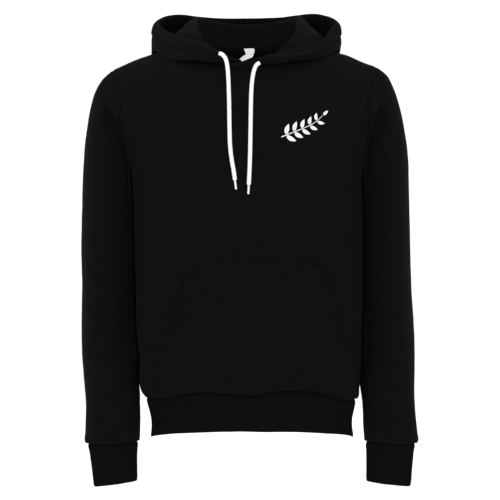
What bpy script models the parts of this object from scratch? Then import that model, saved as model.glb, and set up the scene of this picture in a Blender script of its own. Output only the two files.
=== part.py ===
# Pullover hoodie with the hood down, filled out to the shape that it has on a wearer.
# Sizes are in millimetres, and MM turns them into metres when a mesh is made.
# +X is the wearer's left, +Y the back and +Z up. The origin is the middle of the neck opening,
# level with the high points of the two shoulders.

import math

import bmesh
import bpy
import numpy as np
from mathutils import Vector

MM = 0.001

# driving dimensions
FLEECE = 2.2                 # wall of the fleece panels
RIB = 2.8                    # wall of the doubled rib
RIB_EDGE = 0.6               # how far the rib's ends round in
SEAM_GAP = 0.4               # open line between two sewn pieces
SIDE_Y = 5.0                 # where the front and back panels meet
NECK_HALF = 92.0             # from the middle to the high point of the shoulder
NECK_TOP = 2.0               # height of that point
NECK_DROP = {"front": 55.0, "back": 6.0}
SHOULDER_SLOPE = 0.32
SHOULDER_BLEND = 15.0        # softens the slope where it crosses the middle
SHOULDER_DEPTH = 200.0       # how far down the shoulders still round over
FULLNESS = 2.3               # exponent of the body's section, 2 being an ellipse
ARMPIT_Z = -262.0
BLOUSE = 4.0                 # how far the body tucks in above the hem band
BLOUSE_HEIGHT = 11.0         # over this height
HEM_HALF = 187.0             # half width of the body at the seam with the band
PANEL_COLUMNS = 24
NECK_SHARE = 0.5             # share of a panel's columns that end at the neckline
ROWS_ABOVE_ARMPIT = 11
ROWS_BELOW_ARMPIT = 10
ROW_EASE = 0.45              # rows are closer above this, where the shoulder rounds over
SPREAD_ROW = 0.6             # the columns are spread evenly round the body from this row down
BAND_DROPS = (0.0, 0.06, 0.25, 0.5, 0.75, 0.94, 1.0)     # shares of the hem band's height

HOOD_CENTRE_Y = -5.0
HOOD_HEM = 25.0              # the rolled channel that the cord runs in
HOOD_HEM_HALF = 2.6          # half its thickness
HEM_SHARE = 0.5              # the most of the outer layer's height that it takes
HOOD_FOLD = 4.0              # how near to a fold the wall has its next row
FOLD_SHARE = 0.2             # or this share of a short stretch
HOOD_RIGHT_START = 4.0       # azimuth of the right half's front edge
HOOD_LEAST_COLUMN = 0.3      # share of a column that its first one is never narrower than
HOOD_SWELL_FROM = 8.0        # azimuth where the hem begins to be thicker than the cloth
HOOD_SWELL_BLEND = 20.0

POCKET_MIDDLE = 18.0
POCKET_FOOT_MIDDLE = 10.0
POCKET_FOOT_HALF = 168.0
POCKET_ABOVE_SEAM = 2.0
POCKET_FOOT_Z = -620.0
POCKET_CLEAR = 1.3           # between the pocket and the front
POCKET_LIFT = 2.5            # how much further the mouths stand off
MOUTH_END = 0.62             # share of the pocket's height where a mouth ends
MOUTH_FADE = 0.25            # and over which it closes
MOUTH_WIDTH = 0.2            # share of the half width that lifts
POCKET_COLUMNS = 24
POCKET_HEIGHTS = (0.0, 0.06, 0.18, 0.31, 0.43, 0.54, 0.64, 0.75, 0.86, 0.95, 0.98, 1.0)

TAPE = 0.8                   # wall of the neck tape
TAPE_TOP = 0.4               # share of the back panel's first row where the tape begins
TAPE_FOOT = 0.8              # and of its second row, where it ends
LABEL = 1.0
LABEL_LINES = 9
TRIM_CLEAR = 0.45            # between trim and the cloth that it is sewn to

SPAN_STEPS = 24              # points between two knots of a curve

CORD_RADIUS = 3.5
CORD_STEP = 12.0             # between points along a cord
TIP_RADIUS = 1.9
TIP_LENGTH = 15.0
TIP_BEVEL = 0.5

SIGN = {"front": -1.0, "back": 1.0}

MATERIALS = {                # colour and roughness
    "black_fleece": ((0.012, 0.012, 0.013), 0.95),
    "black_rib": ((0.011, 0.011, 0.012), 0.92),
    "white_satin": ((0.8, 0.8, 0.78), 0.6),
    "white_cord": ((0.85, 0.84, 0.82), 0.8),
}


# curves through tables
def through(xs, ys, at):
    step = np.diff(xs)
    slope = np.diff(ys) / step
    tangent = np.empty(len(xs))
    tangent[0] = slope[0]
    tangent[-1] = slope[-1]
    for i in range(1, len(xs) - 1):
        before, after = slope[i - 1], slope[i]
        if before * after <= 0:
            tangent[i] = 0.0
            continue
        near = 2 * step[i] + step[i - 1]
        far = step[i] + 2 * step[i - 1]
        tangent[i] = (near + far) / (near / before + far / after)
    at = np.clip(at, xs[0], xs[-1])
    i = np.clip(np.searchsorted(xs, at, side="right") - 1, 0, len(step) - 1)
    f = (at - xs[i]) / step[i]
    rise = f * f * (3 - 2 * f)
    bend = f * (1 - f)
    return (ys[i] * (1 - rise) + ys[i + 1] * rise
            + step[i] * bend * ((1 - f) * tangent[i] - f * tangent[i + 1]))


class Table:
    # Rows with named columns. The first column is the key that the others are read by.
    def __init__(self, columns, *rows):
        data = np.array(sorted(rows), float)
        self.keys = data[:, 0]
        self.values = {name: data[:, i] for i, name in enumerate(columns)}

    def at(self, name, key):
        return through(self.keys, self.values[name], np.asarray(key, float))


def ease(value):
    value = np.clip(value, 0.0, 1.0)
    return value * value * (3 - 2 * value)


def between(values, where, marks=None):
    # Points read in straight lines between the given ones, by their marks or else by their count.
    if marks is None:
        marks = np.arange(len(values))
    return np.stack([np.interp(where, marks, values[:, k]) for k in range(3)], -1)


def unit(vectors):
    return vectors / np.maximum(np.linalg.norm(vectors, axis=-1, keepdims=True), 1e-12)


# tables
TORSO = Table(
    ("z", "half_width", "front", "back"),
    (20, 268, 100, 92),
    (-47, 262, 112, 100),
    (-80, 252, 116, 104),
    (-137, 235, 119, 109),
    (-200, 216, 121, 112),
    (-262, 207, 121, 111),
    (-350, 206, 119, 105),
    (-450, 205, 117, 101),
    (-530, 202, 117, 103),
    (-598, 195, 117, 108),
    (-632, HEM_HALF, 110, 104),
)

# Where a panel ends at the armhole, as a share of the body's half width.
ARMHOLE = Table(
    ("z", "share"),
    (-43, 0.889),
    (-80, 0.881),
    (-103, 0.878),
    (-137, 0.902),
    (-170, 0.930),
    (-200, 0.955),
    (-230, 0.975),
    (-250, 0.990),
    (ARMPIT_Z, 1.0),
)

# The hoodie hangs a little to the wearer's right at the chest and to the left at the hem.
SWAY = Table(
    ("z", "x"),
    (0, 0), (-50, -5), (-150, -6), (-300, -3), (-420, -1),
    (-530, 0), (-600, 3), (-700, 8), (-790, 9),
)

# Height of the seam between the body and the hem band.
HEM_SEAM = {
    "front": Table(("x", "z"), (-187, -630), (-150, -627), (-83, -613), (5, -618),
                   (45, -610), (90, -610), (127, -618), (163, -628), (187, -632)),
    "back": Table(("x", "z"), (-187, -630), (0, -627), (187, -632)),
}

HEM_BAND = Table(
    ("drop", "half_width", "front", "back"),
    (0.0, 183.5, 106, 100),
    (0.3, 179, 102, 97),
    (0.6, 175.5, 101, 96),
    (1.0, 178.5, 103, 98),
)
HEM_BOTTOM = {"front": (-698.0, 19.0), "back": (-698.0, 8.0)}     # at the sides, rise at the middle

# A sleeve's sections fan out from the armhole and lie level from the elbow down.
SLEEVE = Table(
    ("row", "outer_x", "outer_z", "inner_x", "inner_z", "middle_y", "half_depth"),
    (0, 233, -47, 207.5, -262, 2, 62),
    (1, 251, -62, 208.2, -264, 3, 64),
    (2, 263, -85, 208.2, -268, 4, 66),
    (3, 272, -120, 208.2, -275, 5, 69),
    (4, 279, -165, 208.2, -288, 6, 71),
    (5, 285, -220, 208.2, -305, 7, 72),
    (6, 289, -280, 209, -335, 8, 72),
    (7, 291, -350, 209, -385, 9, 71),
    (8, 292, -430, 208, -440, 10, 67),
    (9, 293, -490, 206.8, -495, 9, 62),
    (10, 292.5, -550, 203.6, -552, 7, 57),
    (11, 292, -598, 198.5, -598, 5, 52),
    (12, 291, -634, 195, -634, 3, 48),
    (13, 292, -665, 195, -665, 0, 44),
    (14, 293.5, -690, 196.5, -690, -3, 40),
    (15, 295, -702, 197.5, -700, -4, 35),
    (16, 293, -707.5, 198.5, -705, -5, 30),
    (17, 289, -708.5, 200.5, -705.7, -5, 25),
)
SLEEVE_ROWS = 18
SLEEVE_FADE = 4.0            # rows over which the armhole's own outline dies away
SLEEVE_CLEAR = 0.2           # extra room under the arm, where sleeve and panel lie side by side
UNDERARM_TOP = -150.0        # height where that begins
UNDERARM_BLEND = 100.0

# The fold that the sleeve hangs in below the shoulder, seen from the front.
SLEEVE_FOLD = Table(("x", "z"), (205, -205), (212, -175), (218, -159), (228, -137), (242, -118), (262, -106))
FOLD_SLANT = 0.8             # distance across the fold over the height below its line
FOLD_DEPTH = 8.0
FOLD_EDGE = 14.0
FOLD_END = 70.0

CUFF = Table(
    ("row", "outer_x", "outer_z", "inner_x", "inner_z", "middle_y", "half_depth"),
    (0, 289.3, -708.95, 200.2, -706.15, -5, 25.3),
    (1, 286, -724, 201.5, -720, -6, 20),
    (2, 284, -740, 202, -736, -7, 19),
    (3, 281.5, -762, 202.3, -755, -9, 18),
    (4, 279, -783.5, 202.5, -774, -10, 17),
)

CUFF_ROWS = (0.0, 0.2, 1.0, 2.0, 3.0, 3.8, 4.0)

POCKET = Table(
    ("z", "half_width"),
    (-389, 116), (-403, 117), (-426, 120.5), (-452, 129), (-484, 140),
    (-511, 154), (-529, 164), (-545, 173), (-640, 175),
)
POCKET_TOP = (-389.0, 9.0)   # height at the middle, drop at the ends

# The hood's sections round the neck, by azimuth from the front. Each runs from the neckline up to a
# ridge, down to a trough and up to the rim of the face opening.
HOOD = Table(
    ("azimuth", "ridge_r", "ridge_z", "trough_r", "trough_z", "rim_r", "rim_z", "bulge"),
    (-16, 81.5, -49, 86, -47.5, 91.5, -46.5, 0.3),
    (0, 81, -48.7, 86, -46.3, 92.5, -44.5, 0.3),
    (10, 82, -48, 87, -44.5, 93.6, -40.5, 0.5),
    (20, 85.5, -44, 91.5, -41, 96.5, -32, 1.0),
    (31, 91, -33, 101, -46, 100, -24, 4.5),
    (46, 95, -12, 112, -40, 104, -12.5, 6.0),
    (53, 96.5, 0, 118, -38, 108, -8, 6.5),
    (66, 94.5, 16, 129.5, -34, 116, 0.5, 7.0),
    (81, 91.5, 30, 145, -18, 132, 12, 7.0),
    (92, 92, 39, 160, -11, 149, 26, 6.0),
    (101, 93, 45, 168, -19, 162, 38, 5.0),
    (115, 93, 45, 177, -45, 157, 53, 10.0),
    (127, 90.6, 44.6, 180, -66, 147, 58.5, 14.0),
    (140, 86.5, 43, 178, -90, 136, 57, 18.0),
    (157, 79.2, 40.5, 163, -122, 127, 56.3, 25.0),
    (180, 77, 39.4, 134, -143, 122, 56.5, 30.0),
)
DOWN_KNOTS = (0.22, 0.66)                        # shares of the way from the ridge to the trough
UP_KNOTS = ((0.22, 0.75), (0.6, 1.0))            # and up to the rim, each with its share of the bulge

# The wall's rows, as shares of each stretch of the section. The last one's are counted from the rim.
STAND_ROWS = (0.0, 0.35, 0.7, 1.0)
DOWN_ROWS = (0.0, 0.25, 0.6, 1.0)
UP_ROWS = (0.0, 0.25, 0.62, 1.0)
HEM_ROWS = (0.88, 0.5, 0.1, 0.0)
HEM_FULL = (0.9, 1.0, 0.9, 0.5)                  # shares of the hem's thickness at those rows

# At the front the left half's edge lies over the right one, further out and lower, and its lower edge
# stands off the neck seam.
OVERLAP = Table(
    ("azimuth", "out", "down", "step"),
    (-16, 5.5, 2.5, 1.6),
    (-2, 5.5, 2.5, 1.6),
    (4, 5.5, 0.4, 1.6),
    (16, 0, 0, 1.4),
    (22, 0, 0, 0),
)

# The label hangs from the neck tape and twists on its way down. Each row is a line across it.
LABEL_ROWS = Table(
    ("row", "right_x", "right_y", "right_z", "left_x", "left_y", "left_z"),
    (0, -4.4, 52.4, -5.8, 12.6, 51.4, -5.4),
    (1, -3.1, 49.5, -9.4, 14.2, 48.5, -10.3),
    (2, 0.1, 46.0, -16.2, 12.6, 42.5, -21.0),
    (3, -4.3, 43.0, -20.3, 6.9, 39.0, -24.8),
    (4, -11.6, 38.5, -28.3, -7.2, 36.5, -31.0),
)

# Each cord's middle line, from the hood's channel down the chest to its tip.
CORD_ROUTES = {
    "right": (
        (-47.5, -101.9, -31.0), (-43.6, -102.8, -32.4), (-39.4, -103.4, -35.8), (-36.2, -103.4, -41.5),
        (-34.2, -103.0, -49.0), (-32.9, -102.8, -58.5), (-31.9, -103.2, -72.0), (-31.1, -105.4, -91.5),
        (-30.4, -110.8, -113.0), (-30.0, -115.7, -136.0), (-29.6, -118.3, -161.0), (-28.8, -119.6, -187.0),
        (-27.0, -119.8, -206.0), (-24.7, -119.8, -221.0), (-22.0, -119.9, -236.0), (-20.3, -119.9, -249.5),
    ),
    "left": (
        (21.5, -98.6, -47.0), (17.9, -99.6, -49.2), (15.0, -100.3, -53.0), (12.6, -100.9, -58.8),
        (10.6, -101.4, -67.0), (8.9, -102.6, -79.0), (7.6, -107.2, -95.0), (7.0, -111.6, -113.0),
        (6.6, -116.0, -135.0), (6.2, -118.8, -160.0), (5.8, -120.0, -185.0), (5.3, -120.4, -208.0),
        (4.5, -120.3, -232.0), (3.2, -120.3, -257.5),
    ),
}


# the body's surface
def ridge_height(x):
    run = np.hypot(x, SHOULDER_BLEND) - math.hypot(NECK_HALF, SHOULDER_BLEND)
    return NECK_TOP - SHOULDER_SLOPE * run


def shoulder_round(x, z):
    above = 1 - np.clip((ridge_height(x) - z) / SHOULDER_DEPTH, 0, 1)
    return np.sqrt(1 - above * above)


def body_y(side, x, z):
    inside = 1 - (np.abs(x) / TORSO.at("half_width", z)) ** FULLNESS
    section = np.maximum(inside, 0) ** (1 / FULLNESS)
    return SIDE_Y + SIGN[side] * TORSO.at(side, z) * section * shoulder_round(x, z)


def body_normal(side, points, reach=0.001):
    # Slope of the surface written as (y - SIDE_Y)^2 = section^2, which stays smooth at the seams.
    def level(x, y, z):
        return (y - SIDE_Y) ** 2 - (body_y(side, x, z) - SIDE_Y) ** 2

    x, y, z = points[..., 0], points[..., 1], points[..., 2]
    slope = np.stack([
        level(x + reach, y, z) - level(x - reach, y, z),
        level(x, y + reach, z) - level(x, y - reach, z),
        level(x, y, z + reach) - level(x, y, z - reach),
    ], -1)
    return unit(slope)


def blouse_tuck(above_seam):
    return BLOUSE * ease(1 - above_seam / BLOUSE_HEIGHT)


def hem_seam(side, column):
    x = HEM_HALF * np.sign(column) * np.sin(np.abs(column) * math.pi / 2) ** (2 / FULLNESS)
    return HEM_SEAM[side].at("z", x)


def angle_of(x, z):
    share = np.clip(np.abs(x) / TORSO.at("half_width", z), 0, 1)
    return np.arcsin(share ** (FULLNESS / 2))


def armhole_angle(z):
    return np.arcsin(ARMHOLE.at("share", z) ** (FULLNESS / 2))


def shoulder_end():
    # Where the ridge of the shoulder meets the armhole.
    x = 230.0
    for _ in range(8):
        z = ridge_height(x)
        x = float(ARMHOLE.at("share", z) * TORSO.at("half_width", z))
    return x


def panel_point(side, column, row):
    # column runs from -1 to 1 across the panel, and row from 0 at the top to 1 at the hem seam.
    across = np.abs(column)
    neck_turn = np.minimum(across / NECK_SHARE, 1) * math.pi / 2
    beyond = np.clip((across - NECK_SHARE) / (1 - NECK_SHARE), 0, 1)
    top_x = NECK_HALF * np.sin(neck_turn) + (shoulder_end() - NECK_HALF) * beyond
    neck_z = NECK_TOP - NECK_DROP[side] * np.cos(neck_turn)
    top_z = np.where(across < NECK_SHARE, neck_z, ridge_height(top_x))
    top_share = angle_of(top_x, top_z) / armhole_angle(top_z)

    full = 1 - ROW_EASE / 2
    fall = np.where(row < ROW_EASE, row * row / (2 * ROW_EASE), row - ROW_EASE / 2) / full
    foot_z = hem_seam(side, column)
    z = top_z + (foot_z - top_z) * fall
    spread = ease(row / SPREAD_ROW)
    angle = (top_share * (1 - spread) + across * spread) * armhole_angle(z)
    half = TORSO.at("half_width", z)
    tuck = blouse_tuck(z - foot_z)
    x = half * np.sin(angle) ** (2 / FULLNESS)
    section = np.maximum(np.cos(angle), 0) ** (2 / FULLNESS)
    y = SIDE_Y + SIGN[side] * (TORSO.at(side, z) - tuck) * section * shoulder_round(x, z)
    return np.stack([np.sign(column) * (x - tuck * x / half), y, z], -1)


def row_of(fall):
    full = 1 - ROW_EASE / 2
    eased = fall * full
    if eased < ROW_EASE / 2:
        return math.sqrt(2 * ROW_EASE * eased)
    return eased + ROW_EASE / 2


def panel_rows():
    shoulder_z = float(ridge_height(shoulder_end()))
    side_z = float(hem_seam("front", 1.0))
    height = shoulder_z - side_z
    armpit = row_of((shoulder_z - ARMPIT_Z) / height)
    blouse = row_of(1 - BLOUSE_HEIGHT / height)
    above = [armpit * k / ROWS_ABOVE_ARMPIT for k in range(ROWS_ABOVE_ARMPIT)]
    below = [armpit + (blouse - armpit) * k / ROWS_BELOW_ARMPIT for k in range(ROWS_BELOW_ARMPIT + 1)]
    return np.array(above + below + [(1 + blouse) / 2, 1.0])


def panel_grid(side):
    columns = np.linspace(-1, 1, PANEL_COLUMNS + 1)
    rows = panel_rows()
    grid_column, grid_row = np.meshgrid(columns, rows)
    return panel_point(side, grid_column, grid_row)


# meshes
def swayed(points):
    moved = points.copy()
    moved[..., 0] += SWAY.at("x", points[..., 2])
    return moved


def fabric(name):
    colour, roughness = MATERIALS[name]
    material = bpy.data.materials.new(name)
    material.use_nodes = True
    shader = material.node_tree.nodes["Principled BSDF"]
    shader.inputs["Base Color"].default_value = (*colour, 1.0)
    shader.inputs["Roughness"].default_value = roughness
    shader.inputs["Metallic"].default_value = 0.0
    return material


def add_solid(name, mesh, material, collection):
    mesh.materials.append(material)
    mesh.shade_smooth()
    mesh.set_sharp_from_angle(angle=math.radians(50))
    solid = bpy.data.objects.new(name, mesh)
    collection.objects.link(solid)
    return solid


def wall(name, outer, inner, material, collection, closed=False):
    # A sheet with thickness: outer and inner points in matching rows and columns, and a rim all round.
    rows, columns = outer.shape[:2]
    form = bmesh.new()
    skins = []
    for skin in (swayed(outer), swayed(inner)):
        skins.append([[form.verts.new(point * MM) for point in line] for line in skin])
    last = columns if closed else columns - 1
    for r in range(rows - 1):
        for c in range(last):
            d = (c + 1) % columns
            a, b = skins[0], skins[1]
            form.faces.new((a[r][c], a[r][d], a[r + 1][d], a[r + 1][c]))
            form.faces.new((b[r][c], b[r + 1][c], b[r + 1][d], b[r][d]))
    for r in (0, rows - 1):
        for c in range(last):
            d = (c + 1) % columns
            form.faces.new((skins[0][r][c], skins[1][r][c], skins[1][r][d], skins[0][r][d]))
    if not closed:
        for c in (0, columns - 1):
            for r in range(rows - 1):
                form.faces.new((skins[0][r][c], skins[0][r + 1][c], skins[1][r + 1][c], skins[1][r][c]))
    bmesh.ops.recalc_face_normals(form, faces=form.faces[:])
    mesh = bpy.data.meshes.new(name)
    form.to_mesh(mesh)
    form.free()
    return add_solid(name, mesh, material, collection)


def directions(points, axis, closed):
    # At each point, halfway between the directions to it and from it.
    if closed:
        ahead = unit(np.roll(points, -1, axis) - points)
        return unit(ahead + np.roll(ahead, 1, axis))
    ahead = unit(np.diff(points, axis=axis))
    first = np.take(ahead, [0], axis)
    last = np.take(ahead, [-1], axis)
    return unit(np.concatenate([first, ahead], axis) + np.concatenate([ahead, last], axis))


def grid_normals(points, closed):
    return unit(np.cross(directions(points, 1, closed), directions(points, 0, False)))


def mirrored(points):
    return points * np.array([-1.0, 1.0, 1.0])


# body
def add_panel(side, material, collection):
    outer = panel_grid(side)
    inner = outer - FLEECE * body_normal(side, outer)
    apart = np.array([0.0, SIGN[side] * SEAM_GAP / 2, 0.0])
    wall(side, outer + apart, inner + apart, material, collection)


def band_line(side, columns, drop):
    turns = np.abs(columns) * math.pi / 2
    x = np.sign(columns) * HEM_BAND.at("half_width", drop) * np.sin(turns) ** (2 / FULLNESS)
    depth = HEM_BAND.at(side, drop) * np.maximum(np.cos(turns), 0) ** (2 / FULLNESS)
    top = hem_seam(side, columns) - SEAM_GAP
    foot, rise = HEM_BOTTOM[side]
    z = top + (foot + rise * np.cos(turns) - top) * drop
    return np.stack([x, SIDE_Y + SIGN[side] * depth, z], -1)


def rib_skins(rings):
    # The two sides of a rib wall whose ends round in. Its thickness is measured level.
    flat = unit(grid_normals(rings, True) * np.array([1.0, 1.0, 0.0]))
    middle = rings.mean(axis=1, keepdims=True)
    flat *= np.sign(np.sum(flat * (rings - middle), axis=(1, 2)))[:, None, None]
    outer = rings.copy()
    outer[0] -= RIB_EDGE * flat[0]
    outer[-1] -= RIB_EDGE * flat[-1]
    return outer, outer - RIB * flat


def add_hem_band(material, collection):
    columns = np.linspace(-1, 1, PANEL_COLUMNS + 1)
    back_columns = columns[-2:0:-1]
    rings = np.array([
        np.concatenate([band_line("front", columns, drop), band_line("back", back_columns, drop)])
        for drop in BAND_DROPS
    ])
    wall("hem_band", *rib_skins(rings), material, collection, closed=True)


def pocket_x(left, right, spans, z):
    # Points spread evenly round the body between two edges.
    first = np.sign(left) * angle_of(left, z)
    last = np.sign(right) * angle_of(right, z)
    angle = first + (last - first) * (spans + 1) / 2
    return TORSO.at("half_width", z) * np.sign(angle) * np.abs(np.sin(angle)) ** (2 / FULLNESS)


def add_pocket(material, collection):
    spans = np.linspace(-1, 1, POCKET_COLUMNS + 1)
    heights = np.array(POCKET_HEIGHTS)
    foot_left = POCKET_FOOT_MIDDLE - POCKET_FOOT_HALF
    foot_right = POCKET_FOOT_MIDDLE + POCKET_FOOT_HALF
    foot_x = pocket_x(foot_left, foot_right, spans, POCKET_FOOT_Z)
    foot = HEM_SEAM["front"].at("z", foot_x) + POCKET_ABOVE_SEAM
    top_z, top_drop = POCKET_TOP
    start = top_z - top_drop * spans ** 2
    lines = []
    for height in heights:
        z = start + (foot - start) * height
        half = POCKET.at("half_width", z)
        middle = POCKET_MIDDLE + (POCKET_FOOT_MIDDLE - POCKET_MIDDLE) * height ** 2
        x = pocket_x(middle - half, middle + half, spans, z)
        lines.append(np.stack([x, body_y("front", x, z), z], -1))
    points = np.array(lines)
    normals = body_normal("front", points)
    above = points[..., 2] - HEM_SEAM["front"].at("z", points[..., 0])
    high = ease((MOUTH_END - heights) / MOUTH_FADE)
    outer_edge = ease((np.abs(spans) - 1) / MOUTH_WIDTH + 1)
    mouth = high[:, None] * outer_edge[None, :]
    out = POCKET_CLEAR + POCKET_LIFT * mouth - blouse_tuck(above)
    base = points + normals * out[..., None]
    wall("pocket", base + normals * FLEECE, base, material, collection)


# sleeves and cuffs
def ring_at(table, row, turns):
    outer = np.array([table.at("outer_x", row), 0, table.at("outer_z", row)])
    inner = np.array([table.at("inner_x", row), 0, table.at("inner_z", row)])
    middle = (outer + inner) / 2
    across = (outer - inner) / 2
    depth = np.array([0, -table.at("half_depth", row), 0])
    centre = middle + np.array([0, table.at("middle_y", row), 0])
    return centre + np.cos(turns)[:, None] * across + np.sin(turns)[:, None] * depth


def armhole_ring():
    rows = ROWS_ABOVE_ARMPIT
    front = panel_grid("front")[:rows + 1, -1]
    back = panel_grid("back")[:rows + 1, -1]
    points = np.concatenate([front, back[rows - 1:0:-1]])
    normals = np.concatenate([body_normal("front", front), body_normal("back", back[rows - 1:0:-1])])
    return points, normals


def fold_depth(points):
    line = SLEEVE_FOLD.at("z", points[..., 0])
    beyond = (line - points[..., 2]) * FOLD_SLANT
    shape = ease(beyond / FOLD_EDGE) * (1 - ease((beyond - FOLD_EDGE) / (FOLD_END - FOLD_EDGE)))
    return FOLD_DEPTH * shape


def sleeve_grid():
    edge, edge_normals = armhole_ring()
    count = len(edge)
    turns = 2 * math.pi * np.arange(count) / count
    last_row = float(SLEEVE.keys[-1])
    rows = np.linspace(0, last_row, SLEEVE_ROWS)
    tangent = unit(np.roll(edge, -1, axis=0) - np.roll(edge, 1, axis=0))
    away = np.cross(tangent, edge_normals)
    away *= np.sign(away[0, 0])
    low = ease((UNDERARM_TOP - edge[:, 2]) / UNDERARM_BLEND)[:, None]
    outward = unit(away * (1 - low) + edge_normals * low)
    start = edge + SEAM_GAP * outward + SLEEVE_CLEAR * low * edge_normals
    rest = start - ring_at(SLEEVE, 0.0, turns)
    grid = []
    for row in rows:
        ring = ring_at(SLEEVE, row, turns) + rest * (1 - ease(row / SLEEVE_FADE))
        if row > 0:
            pull = fold_depth(ring) * ease(row) * np.abs(np.sin(turns))
            ring[:, 1] += np.sign(np.sin(turns)) * pull
        grid.append(ring)
    grid = np.array(grid)
    normals = grid_normals(grid, True)
    if normals[0, 0, 2] < 0:
        normals = -normals
    normals[0] = unit(edge_normals * (1 - low) + normals[0] * low)
    return grid, normals


def add_sleeves(material, collection):
    outer, normals = sleeve_grid()
    inner = outer - FLEECE * normals
    wall("sleeve_left", outer, inner, material, collection, closed=True)
    wall("sleeve_right", mirrored(outer), mirrored(inner), material, collection, closed=True)


def add_cuffs(material, collection):
    turns = 2 * math.pi * np.arange(2 * ROWS_ABOVE_ARMPIT) / (2 * ROWS_ABOVE_ARMPIT)
    outer, inner = rib_skins(np.array([ring_at(CUFF, row, turns) for row in CUFF_ROWS]))
    wall("cuff_left", outer, inner, material, collection, closed=True)
    wall("cuff_right", mirrored(outer), mirrored(inner), material, collection, closed=True)


# hood
def neckline():
    # The neck seam's points on the two panels, from just past the middle of the front round the left
    # shoulder to the middle of the back, and one more halfway along each edge between them.
    columns = np.linspace(-1, 1, PANEL_COLUMNS + 1)
    step = columns[1] - columns[0]
    front = columns[(columns > -1.5 * step) & (columns < NECK_SHARE + step / 2)]
    back = columns[(columns > -step / 2) & (columns < NECK_SHARE - step / 2)][::-1]
    points = np.concatenate([
        panel_point("front", front, 0 * front),
        panel_point("back", back, 0 * back),
    ])
    normals = np.concatenate([
        body_normal("front", points[:len(front)]),
        body_normal("back", points[len(front):]),
    ])
    tangent = directions(points, 0, False)
    tangent[-1] = np.array([-1.0, 0.0, 0.0])
    inward = unit(np.cross(normals, tangent))
    inward *= np.sign(inward[0, 2])
    halves = np.arange(2 * len(points) - 1) / 2
    return tuple(between(values, halves) for values in (points, normals, inward))


def section_curve(knots, least_gap=0.5):
    # Catmull-Rom through knots (count, columns, 3), evened out for knots at unequal distances.
    gaps = np.sqrt(np.maximum(np.linalg.norm(np.diff(knots, axis=0), axis=-1), least_gap))
    count = len(knots)
    tangents = np.empty_like(knots)
    for i in range(count):
        if 0 < i < count - 1:
            before, after = gaps[i - 1][:, None], gaps[i][:, None]
            slope_in = (knots[i] - knots[i - 1]) / before
            slope_out = (knots[i + 1] - knots[i]) / after
            tangents[i] = (slope_in * after + slope_out * before) / (before + after)
        else:
            j = min(i, count - 2)
            tangents[i] = (knots[j + 1] - knots[j]) / gaps[j][:, None]
    line = []
    for i in range(count - 1):
        for f in np.arange(SPAN_STEPS) / SPAN_STEPS:
            rise = f * f * (3 - 2 * f)
            span = gaps[i][:, None] * f * (1 - f)
            line.append(knots[i] * (1 - rise) + knots[i + 1] * rise
                        + span * ((1 - f) * tangents[i] - f * tangents[i + 1]))
    line.append(knots[-1])
    return np.array(line)


def hood_columns(side):
    # Neck seam points, normals and inward directions, with their azimuths, where this half starts.
    points, normals, inward = neckline()
    azimuths = np.degrees(np.arctan2(points[:, 0], HOOD_CENTRE_Y - points[:, 1]))
    azimuths[-1] = 180.0
    if side == "left":
        return azimuths, points, normals, inward
    start = np.interp(HOOD_RIGHT_START, azimuths, np.arange(len(azimuths)))
    marks = np.concatenate([[start], np.arange(math.ceil(start + HOOD_LEAST_COLUMN), len(azimuths))])
    azimuths = np.interp(marks, np.arange(len(azimuths)), azimuths)
    return azimuths, between(points, marks), between(normals, marks), between(inward, marks)


def hood_rows(at_ridge, at_trough, full):
    # Distances along the sections where the wall has its rows, and half its thickness there.
    hem = np.minimum(HOOD_HEM, HEM_SHARE * (full - at_trough))
    near_in = np.minimum(HOOD_FOLD, FOLD_SHARE * at_ridge)
    near_mid = np.minimum(HOOD_FOLD, FOLD_SHARE * (at_trough - at_ridge))
    near_out = np.minimum(HOOD_FOLD, FOLD_SHARE * (full - at_trough))
    stand = at_ridge - near_in
    down_start = at_ridge + near_mid
    down_end = at_trough - near_mid
    up_start = at_trough + near_out
    up_end = full - hem
    stops = [stand * share for share in STAND_ROWS] + [at_ridge]
    stops += [down_start + (down_end - down_start) * share for share in DOWN_ROWS] + [at_trough]
    stops += [up_start + (up_end - up_start) * share for share in UP_ROWS]
    thin = [FLEECE / 2] * len(stops)
    stops += [full - hem * share for share in HEM_ROWS]
    thick = [HOOD_HEM_HALF * share for share in HEM_FULL]
    return stops, thin, thick


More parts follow.
